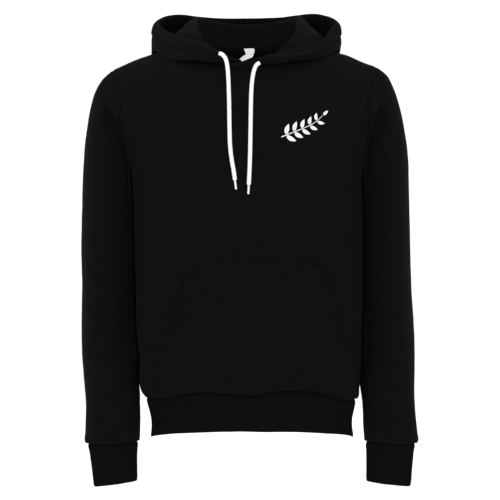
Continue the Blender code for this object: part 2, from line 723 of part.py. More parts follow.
def hood_grid(side):
    azimuths, seam, normal, inward = hood_columns(side)
    turn = np.radians(azimuths)

    def spot(radius, z):
        return np.stack([radius * np.sin(turn), HOOD_CENTRE_Y - radius * np.cos(turn), z], -1)

    def along(name):
        return HOOD.at(name, azimuths)

    neck = seam + SEAM_GAP * inward - normal * FLEECE / 2
    over = side == "left"
    out, down, step = (over * OVERLAP.at(name, azimuths) for name in ("out", "down", "step"))
    neck = spot(np.hypot(neck[:, 0], neck[:, 1] - HOOD_CENTRE_Y) + out, neck[:, 2] - down + step)
    ridge = spot(along("ridge_r") + out, along("ridge_z") - down)
    trough = spot(along("trough_r") + out, along("trough_z") - down)
    rim = spot(along("rim_r") + out, along("rim_z") - down)
    swell = along("bulge")[:, None]
    outward = np.stack([np.sin(turn), -np.cos(turn), np.zeros(len(turn))], -1)
    knots = np.array([
        neck,
        (neck + ridge) / 2,
        ridge,
        *(ridge + (trough - ridge) * share for share in DOWN_KNOTS),
        trough,
        *(trough + (rim - trough) * share + outward * swell * full for share, full in UP_KNOTS),
        rim,
    ])
    line = section_curve(knots)
    steps = np.linalg.norm(np.diff(line, axis=0), axis=-1)
    length = np.concatenate([np.zeros((1, len(azimuths))), np.cumsum(steps, axis=0)])
    stops, thin, thick = hood_rows(length[2 * SPAN_STEPS], length[5 * SPAN_STEPS], length[-1])
    grid = np.empty((len(stops), len(azimuths), 3))
    for k, stop in enumerate(stops):
        for c in range(len(azimuths)):
            for axis in range(3):
                grid[k, c, axis] = np.interp(stop[c], length[:, c], line[:, c, axis])
    normals = grid_normals(grid, False)
    if normals[1, -1, 1] < 0:
        normals = -normals
    normals[:, -1, 0] = 0
    normals = unit(normals)
    normals[0] = normal
    grid[:, -1, 0] = SEAM_GAP / 2
    swelled = ease((azimuths - HOOD_SWELL_FROM) / HOOD_SWELL_BLEND)
    half = np.array(thin + thick)[:, None] * np.ones(len(azimuths))
    half[len(thin):] = FLEECE / 2 + (half[len(thin):] - FLEECE / 2) * swelled
    return grid, normals, half[..., None]


def add_hood(material, collection):
    for side, flip in (("left", lambda p: p), ("right", mirrored)):
        middle, normals, half = hood_grid(side)
        wall(f"hood_{side}", flip(middle + normals * half), flip(middle - normals * half),
             material, collection)


# trim
def add_neck_tape(material, collection):
    # The tape lies on the back panel's inner side, just below the neck seam.
    middle = PANEL_COLUMNS // 2
    reach = int(NECK_SHARE * middle) - 1
    grid = panel_grid("back")[:3, middle - reach:middle + reach + 1]
    normals = body_normal("back", grid)

    def lines(values):
        return np.array([
            values[0] + (values[1] - values[0]) * TAPE_TOP,
            values[1],
            values[1] + (values[2] - values[1]) * TAPE_FOOT,
        ])

    normals = lines(normals)
    apart = np.array([0.0, SEAM_GAP / 2, 0.0])
    outer = lines(grid) + apart - normals * (FLEECE + TRIM_CLEAR)
    wall("neck_tape", outer, outer - normals * TAPE, material, collection)


def add_neck_label(material, collection):
    rows = np.linspace(0, LABEL_ROWS.keys[-1], LABEL_LINES)
    right = np.stack([LABEL_ROWS.at(f"right_{axis}", rows) for axis in "xyz"], -1)
    left = np.stack([LABEL_ROWS.at(f"left_{axis}", rows) for axis in "xyz"], -1)
    outer = np.stack([right, (right + left) / 2, left], axis=1)
    normals = grid_normals(outer, False)
    wall("neck_label", outer, outer + normals * LABEL, material, collection)


def along_line(knots, step):
    line = section_curve(np.array(knots, float)[:, None, :])[:, 0]
    length = np.concatenate([[0], np.cumsum(np.linalg.norm(np.diff(line, axis=0), axis=1))])
    count = round(length[-1] / step) + 1
    return between(line, np.linspace(0, length[-1], count), length)


def add_cord(side, material, collection):
    points = along_line(CORD_ROUTES[side], CORD_STEP)
    curve = bpy.data.curves.new(f"cord_{side}", "CURVE")
    curve.dimensions = "3D"
    curve.bevel_depth = CORD_RADIUS * MM
    curve.bevel_resolution = 3
    curve.use_fill_caps = True
    spline = curve.splines.new("POLY")
    spline.points.add(len(points) - 1)
    for point, place in zip(spline.points, points):
        point.co = (*(place * MM), 1.0)
    curve.materials.append(material)
    collection.objects.link(bpy.data.objects.new(f"cord_{side}", curve))
    add_cord_tip(side, points[-2], points[-1], material, collection)


def add_cord_tip(side, before, end, material, collection):
    heading = Vector((end - before).tolist()).normalized()
    start = Vector(end.tolist()) + heading * SEAM_GAP
    middle = (start + heading * TIP_LENGTH / 2) * MM
    form = bmesh.new()
    bmesh.ops.create_cone(form, cap_ends=True, segments=12, radius1=TIP_RADIUS * MM,
                          radius2=TIP_RADIUS * MM, depth=TIP_LENGTH * MM)
    mesh = bpy.data.meshes.new(f"cord_tip_{side}")
    form.to_mesh(mesh)
    form.free()
    tip = add_solid(f"cord_tip_{side}", mesh, material, collection)
    tip.location = middle
    tip.rotation_mode = "QUATERNION"
    tip.rotation_quaternion = heading.to_track_quat("Z", "Y")
    bevel = tip.modifiers.new("rounded_ends", "BEVEL")
    bevel.width = TIP_BEVEL * MM
    bevel.segments = 2
    bevel.limit_method = "ANGLE"


# whole garment
def main():
    for item in list(bpy.data.objects):
        bpy.data.objects.remove(item)
    collection = bpy.data.collections.new("pullover_hoodie")
    bpy.context.scene.collection.children.link(collection)
    fleece = fabric("black_fleece")
    rib = fabric("black_rib")
    for side in ("front", "back"):
        add_panel(side, fleece, collection)
    add_sleeves(fleece, collection)
    add_cuffs(rib, collection)
    add_hem_band(rib, collection)
    add_pocket(fleece, collection)
    add_hood(fleece, collection)
    add_neck_tape(rib, collection)
    add_neck_label(fabric("white_satin"), collection)
    cord = fabric("white_cord")
    for side in CORD_ROUTES:
        add_cord(side, cord, collection)


main()
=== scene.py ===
import math

import bmesh
import bpy
import numpy as np
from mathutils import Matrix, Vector, noise
from mathutils.bvhtree import BVHTree


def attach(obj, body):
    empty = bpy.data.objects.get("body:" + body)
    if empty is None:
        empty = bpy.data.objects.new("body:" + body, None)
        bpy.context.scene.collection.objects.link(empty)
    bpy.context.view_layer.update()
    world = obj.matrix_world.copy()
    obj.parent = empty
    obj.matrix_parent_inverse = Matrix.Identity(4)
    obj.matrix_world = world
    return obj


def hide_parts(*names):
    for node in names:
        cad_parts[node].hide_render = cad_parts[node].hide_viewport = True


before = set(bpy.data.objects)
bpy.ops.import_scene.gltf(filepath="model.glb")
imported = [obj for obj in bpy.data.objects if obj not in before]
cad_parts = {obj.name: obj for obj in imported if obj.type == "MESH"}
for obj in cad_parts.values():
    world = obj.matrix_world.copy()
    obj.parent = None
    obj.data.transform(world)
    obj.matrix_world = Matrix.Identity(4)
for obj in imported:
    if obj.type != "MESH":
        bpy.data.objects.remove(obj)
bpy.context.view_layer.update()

mm = 0.001


def ease(value):
    value = np.clip(value, 0.0, 1.0)
    return value * value * (3 - 2 * value)


# from 0 at the first of two values to 1 at the second, and level beyond them
def rising(values, span):
    first, last = span
    return ease((values - first) / (last - first))


# 1 at a place, fading over a width on both sides of it, or over another width past it
def fading(values, place, width, past=None):
    return np.exp(-((values - place) / np.where(values < place, width, past or width)) ** 2)


# 1 round a place seen from the front, fading over a reach across and up
def around(places, middle, reach):
    return np.exp(-(((places[..., [0, 2]] - middle) / reach) ** 2).sum(axis=-1))


def unit(vectors):
    return vectors / np.maximum(np.linalg.norm(vectors, axis=-1, keepdims=True), 1e-12)


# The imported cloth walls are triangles. Their rows and columns are found again from here on, by joining the
# triangles with a pull that is raised until every row is whole.
wallSearch = {"weld": 0.02 * mm, "pulls": np.arange(1.0, 4.01, 0.05), "longest": 500, "thickest": 8 * mm}


def weldedWall(node, pull=None):
    wall = bmesh.new()
    wall.from_mesh(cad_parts[node].data)
    bmesh.ops.remove_doubles(wall, verts=wall.verts, dist=wallSearch["weld"])
    if pull:
        bmesh.ops.join_triangles(wall, faces=wall.faces, angle_face_threshold=math.pi,
                                 angle_shape_threshold=math.pi, topology_influence=pull)
    wall.verts.ensure_lookup_table()
    return wall


def straightOn(vert, edge):
    came = (vert.co - edge.other_vert(vert).co).normalized()
    ahead = [other for other in vert.link_edges if other != edge]
    if len(ahead) == 3:
        ahead = [other for other in ahead if not set(edge.link_faces) & set(other.link_faces)]
    return max(ahead, key=lambda other: came.dot((other.other_vert(vert).co - vert.co).normalized()))


# point numbers from start on along edge, until they come back or reach a corner
def chain(start, edge):
    line = [start.index]
    vert = edge.other_vert(start)
    while vert != start and len(line) < wallSearch["longest"]:
        line.append(vert.index)
        if len(vert.link_edges) == 3:
            break
        edge = straightOn(vert, edge)
        vert = edge.other_vert(vert)
    return line


def opposites(node):
    found = {}
    wall = weldedWall(node)
    places = np.array([vert.co for vert in wall.verts])
    for face in wall.faces:
        a, b, c = (vert.index for vert in face.verts)
        for one, two, three in ((a, b, c), (b, c, a), (c, a, b)):
            found.setdefault((one, two), []).append(three)
            found.setdefault((two, one), []).append(three)
    wall.free()
    return found, places


# the last corner of the even face that has points a and b above and one point below a
def fourth(found, places, a, b, below):
    likely = []
    for third in found[(a, b)]:
        if third == below:
            likely += [other for other in found[(b, below)] if other != a]
        elif below in found[(a, third)]:
            likely.append(third)
    expected = places[b] + places[below] - places[a]
    return min(likely, key=lambda index: np.linalg.norm(places[index] - expected), default=None)


def filled(found, places, first, side, closed):
    rows = [list(first)]
    for below in side[1:]:
        above = rows[-1]
        row = [below]
        for a, b in zip(above, above[1:] + above[:1] if closed else above[1:]):
            row.append(fourth(found, places, a, b, row[-1]))
            if row[-1] is None:
                return None
        rows.append(row[:len(first)])
    return rows


# a first row and a side, as chains of point numbers, on the outside and on the inside
def ringOutline(wall, places, start, along, columns):
    corner = max(wall.verts, key=lambda vert: vert.co.dot(Vector(start)))
    lines = [(edge.calc_length(), chain(corner, edge)) for edge in corner.link_edges]
    rings = [line for _, line in lines if len(line) == columns]
    loops = [item for item in lines if len(item[1]) != columns]
    if len(rings) != 2 or len(loops) != 2:
        return []
    first = max(rings, key=lambda line: places[line[1]] @ np.array(along))
    return [(first, max(loops)[1])]


def sheetOutline(wall, places, start, along):
    corners = [vert for vert in wall.verts if len(vert.link_edges) == 3]
    corner = max(corners, key=lambda vert: vert.co.dot(Vector(start)))
    lines = sorted((chain(corner, edge) for edge in corner.link_edges), key=len)
    if len(corners) != 8 or len(lines[0]) != 2:
        return []
    towards = np.array(along)
    first, side = sorted(lines[1:], key=lambda line: -(unit(places[line[1]] - places[line[0]]) @ towards))
    partner = wall.verts[lines[0][1]]
    within = [chain(partner, edge) for edge in partner.link_edges]
    pair = []
    for line in (first, side):
        same = [other for other in within if len(other) == len(line)]
        pair += sorted(same, key=lambda other: np.linalg.norm(places[other[1]] - places[line[1]]))[:1]
    return [(first, side), tuple(pair)] if len(pair) == 2 else []


# Outer and inner points of a node's wall, as rows and columns. The first row starts at the corner or
# ring point that lies furthest towards start, and runs towards along.
def wallGrid(node, start, along, columns=None):
    found, places = opposites(node)
    for pull in wallSearch["pulls"]:
        wall = weldedWall(node, float(pull))
        if columns:
            outline = ringOutline(wall, places, start, along, columns)
        else:
            outline = sheetOutline(wall, places, start, along)
        wall.free()
        sides = [filled(found, places, first, side, bool(columns)) for first, side in outline]
        if not sides or None in sides:
            continue
        if columns:
            half = len(sides[0]) // 2
            sides = [sides[0][:half], sides[0][half:][::-1]]
        outer, inner = (places[np.array(rows)] for rows in sides)
        if np.linalg.norm(outer - inner, axis=-1).max() < wallSearch["thickest"]:
            print(f"{node}: {len(outer)} rows of {len(outer[0])} points")
            return outer, inner
    raise ValueError(f"{node} has no even rows and columns")


# Smooth curves through the rows of a grid, with a count of steps for each span, or one for all.
def smoothed(knots, steps, closed=False, shortest=0.3 * mm):
    if closed:
        knots = np.concatenate([knots[-2:], knots, knots[:3]])
    gaps = np.sqrt(np.maximum(np.linalg.norm(np.diff(knots, axis=0), axis=-1), shortest))[..., None]
    slopes = np.diff(knots, axis=0) / gaps
    inner = (slopes[:-1] * gaps[1:] + slopes[1:] * gaps[:-1]) / (gaps[:-1] + gaps[1:])
    tangents = np.concatenate([slopes[:1], inner, slopes[-1:]])
    spans = range(2, len(knots) - 3) if closed else range(len(knots) - 1)
    if isinstance(steps, int):
        steps = [steps] * len(spans)
    line = []
    for count, i in zip(steps, spans):
        for f in np.arange(count) / count:
            rise = f * f * (3 - 2 * f)
            bend = gaps[i] * f * (1 - f)
            line.append(knots[i] * (1 - rise) + knots[i + 1] * rise
                        + bend * ((1 - f) * tangents[i] - f * tangents[i + 1]))
    if not closed:
        line.append(knots[-1])
    return np.array(line)


def finer(grid, rowSteps, columnSteps, closed):
    across = smoothed(grid.swapaxes(0, 1), columnSteps, closed)
    return smoothed(across.swapaxes(0, 1), rowSteps)


def gridNormals(grid, closed):
    if closed:
        across = np.roll(grid, -1, 1) - np.roll(grid, 1, 1)
    else:
        across = np.gradient(grid, axis=1)
    return unit(np.cross(across, np.gradient(grid, axis=0)))


def newObject(name, mesh, material, sharp=50):
    mesh.materials.append(material)
    mesh.shade_smooth()
    mesh.set_sharp_from_angle(angle=math.radians(sharp))
    thing = bpy.data.objects.new(name, mesh)
    bpy.context.scene.collection.objects.link(thing)
    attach(thing, "root")
    return thing


def meshOf(name, places, faces):
    mesh = bpy.data.meshes.new(name)
    mesh.from_pydata([tuple(place) for place in places], [], faces)
    mesh.validate()
    return mesh


# the faces of a grid whose points are numbered from base
def gridFaces(rows, columns, base):
    return [(base + r * columns + c, base + r * columns + c + 1,
             base + (r + 1) * columns + c + 1, base + (r + 1) * columns + c)
            for r in range(rows - 1) for c in range(columns - 1)]


def turnedOut(mesh, weld=None, toFront=False):
    made = bmesh.new()
    made.from_mesh(mesh)
    if weld:
        bmesh.ops.remove_doubles(made, verts=made.verts, dist=weld)
    bmesh.ops.recalc_face_normals(made, faces=made.faces)
    if toFront and sum(face.normal.y for face in made.faces) > 0:
        bmesh.ops.reverse_faces(made, faces=made.faces)
    made.to_mesh(mesh)
    made.free()
    return mesh


# how the edges of a cloth round out, as shares of its thickness: at its first row, its last row and its
# sides, and where the rows of the rounding lie between the outside and the inside
rimForm = {"bulges": (0.35, 0.35, 0.35), "steps": (0.18, 0.5, 0.82), "weld": 1e-7}


def clothMesh(name, outer, inner, closed, bulges):
    rows, columns = outer.shape[:2]
    upper, lower, side = bulges
    places = [outer.reshape(-1, 3), inner.reshape(-1, 3)]
    total = 2 * rows * columns
    faces = []

    def number(skin, r, c):
        return skin * rows * columns + r * columns + c % columns

    def roundedLines(a, b, beyond, share):
        thick = np.linalg.norm(a - b, axis=-1, keepdims=True)
        ahead = unit(a - beyond) * thick * share
        return [a + (b - a) * (1 - math.cos(math.pi * t)) / 2 + ahead * math.sin(math.pi * t)
                for t in rimForm["steps"]]

    def rim(lines, outside, inside, looped):
        nonlocal total
        count = len(outside)
        strips = [outside]
        for line in lines:
            places.append(line)
            strips.append(list(range(total, total + count)))
            total += count
        strips.append(inside)
        for over, under in zip(strips[:-1], strips[1:]):
            for k in range(count if looped else count - 1):
                n = (k + 1) % count
                faces.append((over[k], under[k], under[n], over[n]))
        return lines

    last = columns if closed else columns - 1
    for r in range(rows - 1):
        for c in range(last):
            faces.append((number(0, r, c), number(0, r, c + 1), number(0, r + 1, c + 1), number(0, r + 1, c)))
            faces.append((number(1, r, c), number(1, r + 1, c), number(1, r + 1, c + 1), number(1, r, c + 1)))
    ends = []
    for r, near, share in ((0, 1, upper), (rows - 1, rows - 2, lower)):
        lines = roundedLines(outer[r], inner[r], outer[near], share)
        outside = [number(0, r, c) for c in range(columns)]
        inside = [number(1, r, c) for c in range(columns)]
        ends.append(rim(lines, outside, inside, closed))
    if not closed:
        for c, near in ((0, 1), (columns - 1, columns - 2)):
            lines = roundedLines(outer[:, c], inner[:, c], outer[:, near], side)
            for line, top, bottom in zip(lines, ends[0], ends[1]):
                line[0] = top[c]
                line[-1] = bottom[c]
            outside = [number(0, r, c) for r in range(rows)]
            inside = [number(1, r, c) for r in range(rows)]
            rim(lines, outside, inside, False)
    return turnedOut(meshOf(name, np.concatenate(places), faces), rimForm["weld"])


# distance along a grid from one of its edges, at each of its points
def insetFrom(grid, edge):
    axis = 0 if edge in ("top", "bottom") else 1
    if edge in ("bottom", "last"):
        grid = np.flip(grid, axis)
    steps = np.linalg.norm(np.diff(grid, axis=axis), axis=-1)
    away = np.concatenate([np.zeros_like(np.take(steps, [0], axis)), np.cumsum(steps, axis)], axis)
    return np.flip(away, axis) if edge in ("bottom", "last") else away


# the line on a grid that runs at a distance from an edge, and the way out of the cloth along it
def insetLine(grid, normals, edge, distance):
    away = insetFrom(grid, edge)
    if edge in ("top", "bottom"):
        grid, normals, away = grid.swapaxes(0, 1), normals.swapaxes(0, 1), away.T
    line, out = [], []
    for places, ways, reach in zip(grid, normals, away):
        if edge in ("bottom", "last"):
            places, ways, reach = places[::-1], ways[::-1], reach[::-1]
        k = min(int(np.searchsorted(reach, distance)), len(reach) - 1)
        share = (distance - reach[k - 1]) / max(reach[k] - reach[k - 1], 1e-9)
        line.append(places[k - 1] + (places[k] - places[k - 1]) * share)
        out.append(ways[k - 1] + (ways[k] - ways[k - 1]) * share)
    return np.array(line), unit(np.array(out))


def lineLength(line):
    return float(np.linalg.norm(np.diff(line, axis=0), axis=1).sum())


# places on a line at distances along it, or other values that go with its points
def along(line, distances, values=None):
    values = line if values is None else values
    steps = np.linalg.norm(np.diff(line, axis=0), axis=1)
    reach = np.concatenate([[0.0], np.cumsum(steps)])
    return np.stack([np.interp(distances, reach, values[:, k]) for k in range(3)], axis=1)


# how long, how far apart and how thick the stitches are, where each is fullest, and how far it stands proud
thread = {"stitch": 2.9 * mm, "gap": 0.7 * mm, "radius": 0.42 * mm, "sides": 6, "fullest": 0.28,
          "proud": 0.25}


# many small thread stitches as one mesh: each from a start to an end, proud of the cloth by its way out
def stitchesMesh(name, starts, ends, outs, radius):
    sides = thread["sides"]
    ahead = unit(ends - starts)
    out = unit(outs - ahead * (outs * ahead).sum(axis=1, keepdims=True))
    across = np.cross(ahead, out)
    length = np.linalg.norm(ends - starts, axis=1, keepdims=True)
    middle = (starts + ends) / 2
    rings = [starts - out * radius]
    for share in (-thread["fullest"], thread["fullest"]):
        for k in range(sides):
            turn = 2 * math.pi * k / sides
            rings.append(middle + ahead * length * share
                         + (out * (math.cos(turn) + thread["proud"]) + across * math.sin(turn)) * radius)
    rings.append(ends - out * radius)
    count = len(rings)
    places = np.stack(rings, axis=1).reshape(-1, 3)
    one = []
    for k in range(sides):
        n = (k + 1) % sides
        one += [(0, 1 + n, 1 + k), (1 + k, 1 + n, 1 + sides + n, 1 + sides + k),
                (count - 1, 1 + sides + k, 1 + sides + n)]
    faces = [tuple(i + s * count for i in face) for s in range(len(starts)) for face in one]
    return meshOf(name, places, faces)


def stitchEnds(line, out):
    count = max(2, int(lineLength(line) / (thread["stitch"] + thread["gap"])))
    pitch = lineLength(line) / count
    middles = (np.arange(count) + 0.5) * pitch
    half = (pitch - thread["gap"]) / 2
    return along(line, middles - half), along(line, middles + half), unit(along(line, middles, out))


# How the cloth moves from its plain shape. It moves the same at the same place on every piece, so the
# seams stay closed. Places are in mm, as (x, z) seen from the front.
drape = {
    "noiseSeed": 1, "seed": 7.0,
    "ripple": 1.2, "rippleSize": 85,
    "crumple": 0.45, "crumpleSize": 26,
    "waver": 4, "waverSize": 45,
    "front": (-8, -30), "back": (8, 32),  # from the sides to where the cloth faces forwards or backwards
    "hood": (-52, -38), "hoodWithin": 175,  # where the hood's own creases take over
    # the side under the wearer's right arm hangs further in, within these places across and up
    "sideIn": 10, "side": ((-120, -200), (-214, -286), (-128, -188), (-610, -550)),
    # the folds at the armholes, with widths before their line and past it
    "foldWidth": 6, "foldStarts": 34, "foldEnds": 60, "lower": (-175, -240),
    "lip": 4, "lipWidths": (12, 2.5), "overAt": -2, "overWidths": (10, 3.5),
    # how strong the creases are, how much is left of them at their ends, and the swell beside them
    "creases": 1.5, "creaseEnds": 0.25, "swell": 0.3, "swellWidth": 2.3,
    # the gathers: how much the finer folds add and how fine they are, and how slowly they change upwards
    "fineFolds": 0.6, "fineSize": 0.55, "upright": 0.3,
}

noise.seed_set(drape["noiseSeed"])  # without a seed of its own the noise follows the clock

# where the body lies over each sleeve, round the armhole and down the side: how far the sleeve goes back
# there and how far the fold hangs over it, each at its top and further down, how far that reaches over the
# sleeve, and the way in which it begins
sleeveFolds = {
    "right": {"way": 1, "back": (8, 21), "reach": 44, "over": (8, 4), "begins": (0.78, -0.62),
              "line": ((-252, -112), (-238, -120), (-224, -135), (-212, -167), (-206, -204), (-203, -246),
                       (-202, -290), (-201, -381), (-199, -451), (-193, -542), (-184, -602))},
    "left": {"way": -1, "back": (8, 18), "reach": 32, "over": (8, 3), "begins": (-0.78, -0.62),
             "line": ((239, -99), (225, -116), (215, -137), (208, -165), (205, -200), (204, -246),
                      (204, -304), (204, -381), (203, -451), (203, -542), (198, -602))},
}

# where the cloth hangs a little to one side: how far across and up, round which place, and the reach across
# and up over which it fades
hangs = (
    ((0, -9), (-248, -70), (42, 50)),  # the shoulder over the right sleeve drops
    ((8, 0), (278, -165), (45, 95)), ((4, 0), (292, -540), (34, 80)),  # the left sleeve stands out
    ((0, 4), (176, -32), (22, 25)), ((0, 3), (108, 46), (32, 22)),
    ((4, 0), (192, -640), (32, 55)), ((-2, 0), (-160, 10), (24, 24)),
)

# creases given one by one: first and last place, width, and depth, which is below 0 for a ridge
frontCreases = (
    ((-233, -403), (-201, -411), 5, 2.2), ((-228, -424), (-208, -418), 4, 1.3),
    ((-215, -455), (-213, -505), 12, 2.6), ((-225, -527), (-196, -523), 5, 2.6),
    ((-240, -579), (-205, -586), 6, 1.8), ((-243, -380), (-236, -520), 9, 1.6),
    ((-262, -640), (-222, -652), 7, 1.6), ((-280, -470), (-262, -476), 6, 1.2),
    ((-218, -176), (-231, -262), 10, 2.6), ((-244, -176), (-258, -250), 11, -1.6),
    ((-270, -230), (-240, -246), 9, 1.3), ((-275, -335), (-246, -341), 7, 1.1),
    ((203, -376), (232, -388), 8, 2.8), ((255, -409), (284, -413), 4, 1.5),
    ((208, -583), (232, -608), 6, 2.8), ((213, -400), (215, -520), 10, 2.0),
    ((232, -152), (252, -236), 9, -2.0), ((222, -160), (236, -232), 8, 1.8),
    ((243, -648), (276, -636), 8, 1.4), ((262, -282), (226, -296), 8, 1.3),
    ((250, -500), (284, -507), 7, 1.2), ((230, -545), (262, -539), 8, 1.3),
    ((-168, -470), (-164, -560), 14, 1.8), ((-184, -440), (-180, -556), 9, -1.2),
    ((101, -599), (131, -620), 5, 2.6), ((112, -589), (140, -607), 6, -1.6),
    ((-120, -588), (-96, -606), 7, 1.4), ((22, -590), (36, -606), 8, 1.3),
    ((168, -560), (178, -604), 9, 1.7), ((-64, -583), (-52, -605), 9, -1.2),
    ((-196, -150), (-150, -186), 12, 1.5), ((196, -146), (156, -182), 12, 1.4),
    ((-120, -150), (-60, -215), 26, 1.2), ((150, -205), (96, -262), 24, -1.1),
)
backCreases = (
    ((-236, -396), (-204, -404), 6, 2.4), ((-228, -520), (-198, -532), 6, 2.2),
    ((-262, -455), (-226, -447), 7, 1.5), ((-255, -590), (-214, -600), 8, 1.7),
    ((236, -382), (204, -393), 6, 2.4), ((230, -566), (204, -552), 6, 2.1),
    ((266, -472), (232, -462), 7, 1.5), ((214, -418), (217, -516), 11, 1.8),
    ((-216, -180), (-234, -262), 10, 2.2), ((220, -176), (240, -258), 10, 2.2),
    ((-190, -160), (-120, -215), 13, 2.0), ((192, -158), (128, -226), 13, 2.2),
    ((-150, -250), (-80, -330), 30, 1.6), ((132, -300), (60, -420), 34, 1.5),
    ((-60, -540), (-30, -602), 11, 1.8), ((46, -560), (70, -604), 10, 1.6),
    ((150, -540), (166, -602), 10, 1.7), ((-160, -520), (-170, -600), 12, 1.8),
    ((-40, -120), (60, -132), 18, 1.3), ((-110, -570), (-92, -604), 8, -1.3),
)
hoodCreases = (
    ((-145, 15), (-124, 5), 5, -1.5), ((-124, 5), (-97, -7), 5, -1.6), ((-97, -7), (-60, -24), 5, -1.5),
    ((-147, -9), (-114, -14), 6, 2.2), ((-114, -14), (-86, -19), 6, 2.4), ((-86, -19), (-58, -30), 5, 2.0),
    ((-150, -20), (-106, -27), 6, -1.4), ((-100, -24), (-66, -36), 5, 1.2),
    ((136, 6), (114, -4), 5, 4.5), ((114, -4), (86, -15), 4.5, 4.5), ((86, -15), (58, -24), 4, 3.6),
    ((58, -24), (36, -33), 4, 2.4),
    ((151, 10), (135, -3), 4.5, -3.0), ((135, -3), (114, -12), 4.5, -3.4), ((114, -12), (86, -22), 4.5, -3.4),
    ((86, -22), (62, -28), 4, -3.0), ((62, -28), (32, -36), 4, -2.2),
    ((128, -20), (100, -30), 6, 2.4), ((100, -30), (66, -38), 5, 2.4), ((150, -14), (122, -34), 7, -1.2),
)
# round the gathered seams: the middle of each, its height, how deep and how wide the small folds are, and
# how far up and down they show
cuffGather = {"radius": 42, "within": 75, "depth": 1.4, "up": 20, "down": 6, "fold": 10}
gathers = {
    "hem": {"middle": (0, 5), "height": -612, "radius": 150, "within": 400, "depth": 1.5, "up": 26,
            "down": 7, "fold": 17},
    "cuffLeft": {"middle": (247, 6), "height": -708, **cuffGather},
    "cuffRight": {"middle": (-243, 6), "height": -706, **cuffGather},
}


def noiseAt(places, size, shift):
    offset = Vector((shift, shift * 0.7, 0))
    return np.array([noise.noise_vector(Vector(place) / size + offset) for place in places])


# how far each place is from a line of points, below 0 to its left, how far along it is, the length of the
# line, and the way to its right
def fromLine(flat, points):
    best = np.full(len(flat), 1e9)
    signed, reached = np.zeros(len(flat)), np.zeros(len(flat))
    aside = np.zeros((len(flat), 2))
    run = 0.0
    for first, second in zip(points[:-1], points[1:]):
        first, second = np.array(first, float), np.array(second, float)
        length = np.linalg.norm(second - first)
        way = (second - first) / length
        right = np.array([way[1], -way[0]])
        t = np.clip((flat - first) @ way, 0, length)
        gap = flat - first - t[:, None] * way
        away = np.linalg.norm(gap, axis=1)
        near = away < best
        best = np.where(near, away, best)
        signed = np.where(near, away * np.sign(gap @ right), signed)
        reached = np.where(near, run + t, reached)
        aside = np.where(near[:, None], right, aside)
        run += length
    return signed, reached, run, aside


def creased(flat, creases):
    push = np.zeros(len(flat))
    for first, last, width, depth in creases:
        away, reached, length, _ = fromLine(flat, (first, last))
        ends = drape["creaseEnds"]
        taper = ends + (1 - ends) * np.sin(np.pi * np.clip(reached / length, 0, 1))
        swell = drape["swell"] * fading(away, 0, drape["swellWidth"] * width)
        push += depth * taper * (fading(away, 0, width) - swell)
    return push


def draped(grid):
    places = grid.reshape(-1, 3) / mm
    moved = places.copy()
    x, y, z = places.T
    near, far, top, bottom = drape["side"]
    hangsIn = rising(x, near) * (1 - rising(x, far)) * rising(z, top) * rising(z, bottom)
    moved[:, 0] += drape["sideIn"] * hangsIn
    for shift, place, reach in hangs:
        moved[:, [0, 2]] += np.outer(around(places, place, reach), shift)

    # the rest is in the heights and widths as they are now, wavering a little
    seen = moved[:, [0, 2]]
    frontal, dorsal = rising(y, drape["front"]), rising(y, drape["back"])
    lower = rising(seen[:, 1], drape["lower"])
    for fold in sleeveFolds.values():
        away, _, _, aside = fromLine(seen, fold["line"])
        away = away * fold["way"]
        first, last = np.array(fold["line"][0]), fold["line"][-1]
        begins = ease((seen - first) @ np.array(fold["begins"]) / drape["foldStarts"])
        begins *= ease((seen[:, 1] - last[1]) / drape["foldEnds"])
        back, over = (top + (bottom - top) * lower for top, bottom in (fold["back"], fold["over"]))
        back *= ease((away - 1) / drape["foldWidth"]) * fading(np.maximum(away, 0), 0, fold["reach"])
        back -= drape["lip"] * fading(away, 0, *drape["lipWidths"])
        over *= fading(away, drape["overAt"], *drape["overWidths"]) * fold["way"]
        weight = frontal * begins
        moved[:, 1] += weight * back
        moved[:, [0, 2]] += aside * (weight * over)[:, None]
    seen = seen + noiseAt(places, drape["waverSize"], 31.0)[:, [0, 2]] * drape["waver"]
    onHood = rising(z, drape["hood"]) * (np.abs(x) < drape["hoodWithin"])
    moved[:, 1] += frontal * (1 - onHood) * creased(seen, frontCreases) * drape["creases"]
    moved[:, 1] -= dorsal * (1 - onHood) * creased(seen, backCreases) * drape["creases"]
    moved[:, 1] += frontal * onHood * creased(moved[:, [0, 2]], hoodCreases)

    for gather in gathers.values():
        arm = places[:, :2] - np.array(gather["middle"])
        away = np.linalg.norm(arm, axis=1)
        rise = z - gather["height"]
        fade = fading(rise, 0, gather["down"], gather["up"])
        near = np.flatnonzero((fade > 0.01) & (away < gather["within"]))
        if len(near):
            out = arm[near] / away[near, None]
            ringPlace = np.column_stack([out * gather["radius"], rise[near] * drape["upright"]])
            folds = noiseAt(ringPlace, gather["fold"], 5.0)[:, 0]
            folds += drape["fineFolds"] * noiseAt(ringPlace, gather["fold"] * drape["fineSize"], 9.0)[:, 1]
            moved[near, :2] += out * (folds * fade[near] * gather["depth"])[:, None]

    moved += noiseAt(places, drape["rippleSize"], drape["seed"]) * drape["ripple"]
    moved += noiseAt(places, drape["crumpleSize"], drape["seed"] + 3) * drape["crumple"]
    return moved.reshape(grid.shape) * mm


# Node groups that several cloths share.
def nodeGroup(name, inputs, outputs):
    group = bpy.data.node_groups.new(name, "ShaderNodeTree")
    for label, value in inputs.items():
        group.interface.new_socket(label, in_out="INPUT", socket_type="NodeSocketFloat").default_value = value
    for label in outputs:
        group.interface.new_socket(label, in_out="OUTPUT", socket_type="NodeSocketFloat")
    return group, group.nodes.new("NodeGroupInput").outputs, group.nodes.new("NodeGroupOutput").inputs


